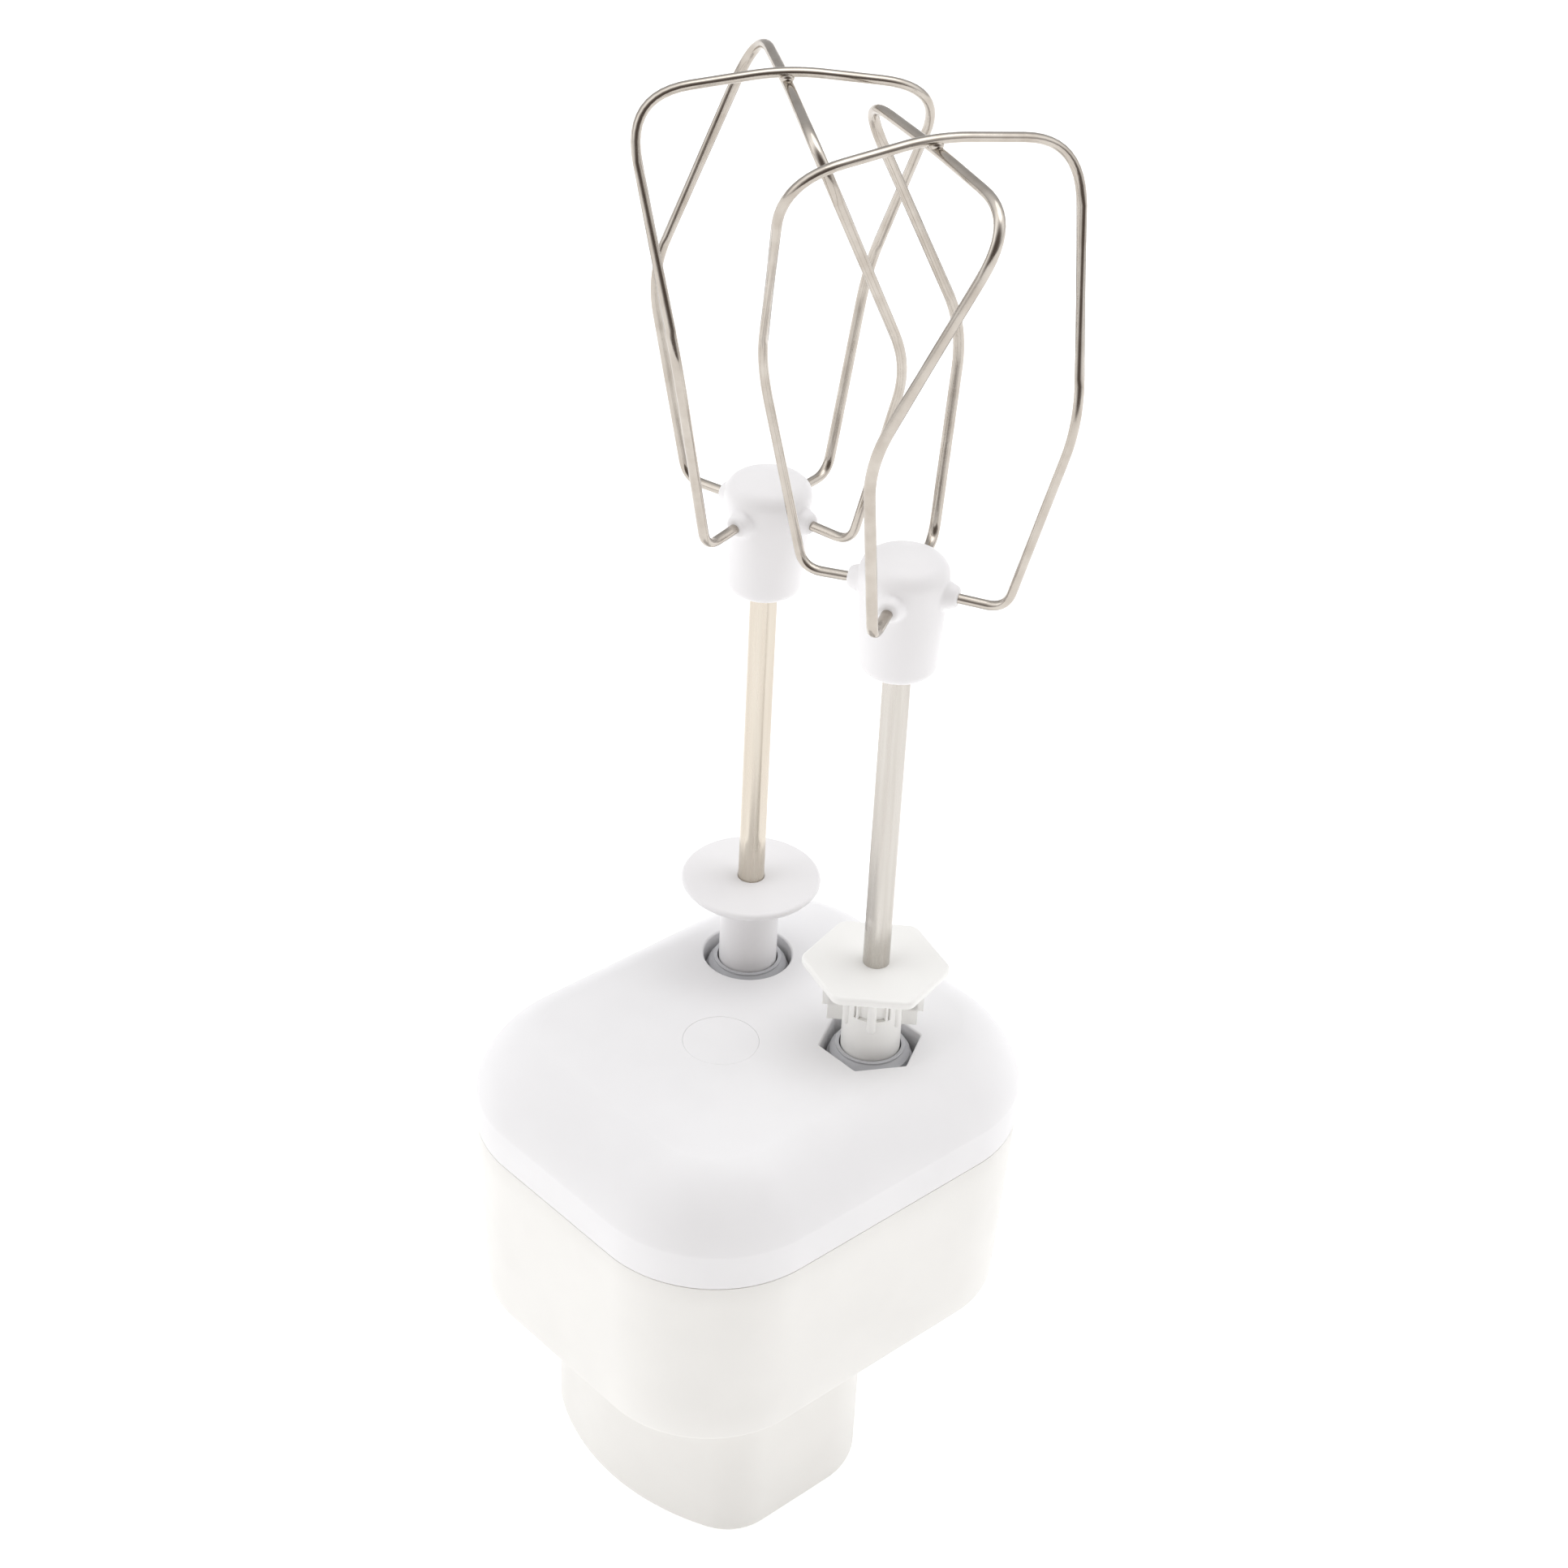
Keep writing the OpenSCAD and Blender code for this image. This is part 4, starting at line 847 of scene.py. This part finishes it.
def half_loop(letter, twist):
    """Half of a cage loop as (radius, height, turn, bend length), from inside the hub to the top centre."""
    crown, shoulder = CROWN[letter], SHOULDER[letter]
    corner = shoulder + SHOULDER_R * (crown - shoulder) / (SHOULDER_R - CROWN_BEND / 2)
    return [(WIRE_START_R, BOSS_Z, 0, 0), (FOOT[0], FOOT[1], 0, FOOT[2]), (WAIST[0], WAIST[1], 0, WAIST[2]),
            (SHOULDER_R, shoulder, twist, SHOULDER_BEND), (0, corner, twist, CROWN_BEND)]


def loop_path(phase, twist, letter, steps=12):
    """Points of a bent wire with the sideways direction at each, its corners rounded by quadratic curves."""
    half = half_loop(letter, twist)
    corners = []
    for i, (r, z, turn, bend) in enumerate(half + half[-2::-1]):
        a = math.radians(phase + turn)
        r = r if i < len(half) else -r
        corner = Vector((r * math.cos(a), r * math.sin(a), z))
        corners.append((corner, Vector((-math.sin(a), math.cos(a), 0)), bend))
    path = []
    for i, (p, side, bend) in enumerate(corners):
        if not bend:
            path.append((p, side))
            continue
        a = p + (corners[i - 1][0] - p).normalized() * bend
        b = p + (corners[i + 1][0] - p).normalized() * bend
        for k in range(steps + 1):
            t = k / steps
            path.append((a * (1 - t) ** 2 + p * 2 * t * (1 - t) + b * t * t, side))
    return path


WELD_R = 1.3 * MM


def make_wire(side, letter):
    """A flattened wire bent round one loop of the cage; loop b carries the weld at the crossing."""
    b = Builder(side + "_wire_" + letter)
    path = loop_path(PHASE[side] + (90 if letter == "b" else 0), TWIST[side], letter)
    rings = []
    for i, (p, sideways) in enumerate(path):
        ahead = path[min(i + 1, len(path) - 1)][0] - path[max(i - 1, 0)][0]
        ahead.normalize()
        across = (sideways - ahead * sideways.dot(ahead)).normalized()
        over = ahead.cross(across)
        ring = []
        for k in range(20):
            a = TAU * k / 20
            section = across * (WIRE_W / 2 * math.cos(a)) + over * (WIRE_T / 2 * math.sin(a))
            ring.append(p + AXIS[side] + section)
        rings.append([b.bm.verts.new(v) for v in ring])
    b.skin(rings)
    b.lid(rings[0])
    b.lid(rings[-1])
    if letter == "b":
        middle = (CROWN["a"] + CROWN["b"]) / 2
        nugget = [(WELD_R * math.cos(math.radians(a)), middle + WELD_R * 0.75 * math.sin(math.radians(a)))
                  for a in (-60, -40, -20, 0, 20, 40, 60)]
        lathe(b, [(0, middle - WELD_R * 0.8)] + nugget + [(0, middle + WELD_R * 0.8)], AXIS[side], 24)
    return b.done(sharp=60)


# ---------- Assembly ----------

MATERIALS = make_materials()
SLOTS = {part["node"]: part["material_slot"] for part in frame["record"]["subparts"]}
TRIM_BEVEL = 0.25 * MM
FLOOR_HALF = 80


def place(obj, mat, body, *nodes):
    """Puts a finished piece on its body in place of CAD nodes, dressed in the given material."""
    dress(obj, MATERIALS[mat])
    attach(obj, body)
    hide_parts(*nodes)


def make_floor():
    """Plain pale paper, wide enough to reach the horizon."""
    b = Builder("floor")
    ring = b.ring([(-FLOOR_HALF, -FLOOR_HALF), (FLOOR_HALF, -FLOOR_HALF), (FLOOR_HALF, FLOOR_HALF),
                   (-FLOOR_HALF, FLOOR_HALF)], 0)
    b.lid(ring)
    floor = b.done()
    made = Shader("floor_paper", (0.9, 0.9, 0.9), 0.9)
    made.bump(made.noise(400, 3), 0.05 * MM)
    made.main.inputs["Emission Color"].default_value = (1, 1, 1, 1)
    made.main.inputs["Emission Strength"].default_value = 0.43
    dress(floor, made.mat)


make_camera()
make_world()
make_lights()
make_floor()

for node, obj in frame["nodes"].items():
    dress(obj, MATERIALS[SLOTS[node]])

place(make_cover(), "cover_plastic", "casing", "base_cover")
place(make_plug(), "cover_plastic", "casing", "face_plug")
place(make_housing(), "housing_plastic", "casing", "main_housing")
place(make_grip(), "housing_plastic", "casing", "grip_shell")
for node in ("eject_button", "speed_slider", "port_flap", "end_cap"):
    crisp(frame["nodes"][node], TRIM_BEVEL)
for side in SIDES:
    body = side + "_beater"
    place(make_shaft(side), side + "_shaft_steel", body, side + "_beater_shaft")
    place(make_hub(side), "beater_plastic", body, side + "_beater_hub")
    for letter in "ab":
        place(make_wire(side, letter), "wire_steel", body, side + "_beater_wire_" + letter)
place(make_round_collar(), "beater_plastic", "round_beater", "round_beater_collar")
place(make_hex_collar(), "hex_plastic", "hex_beater", "hex_beater_collar")
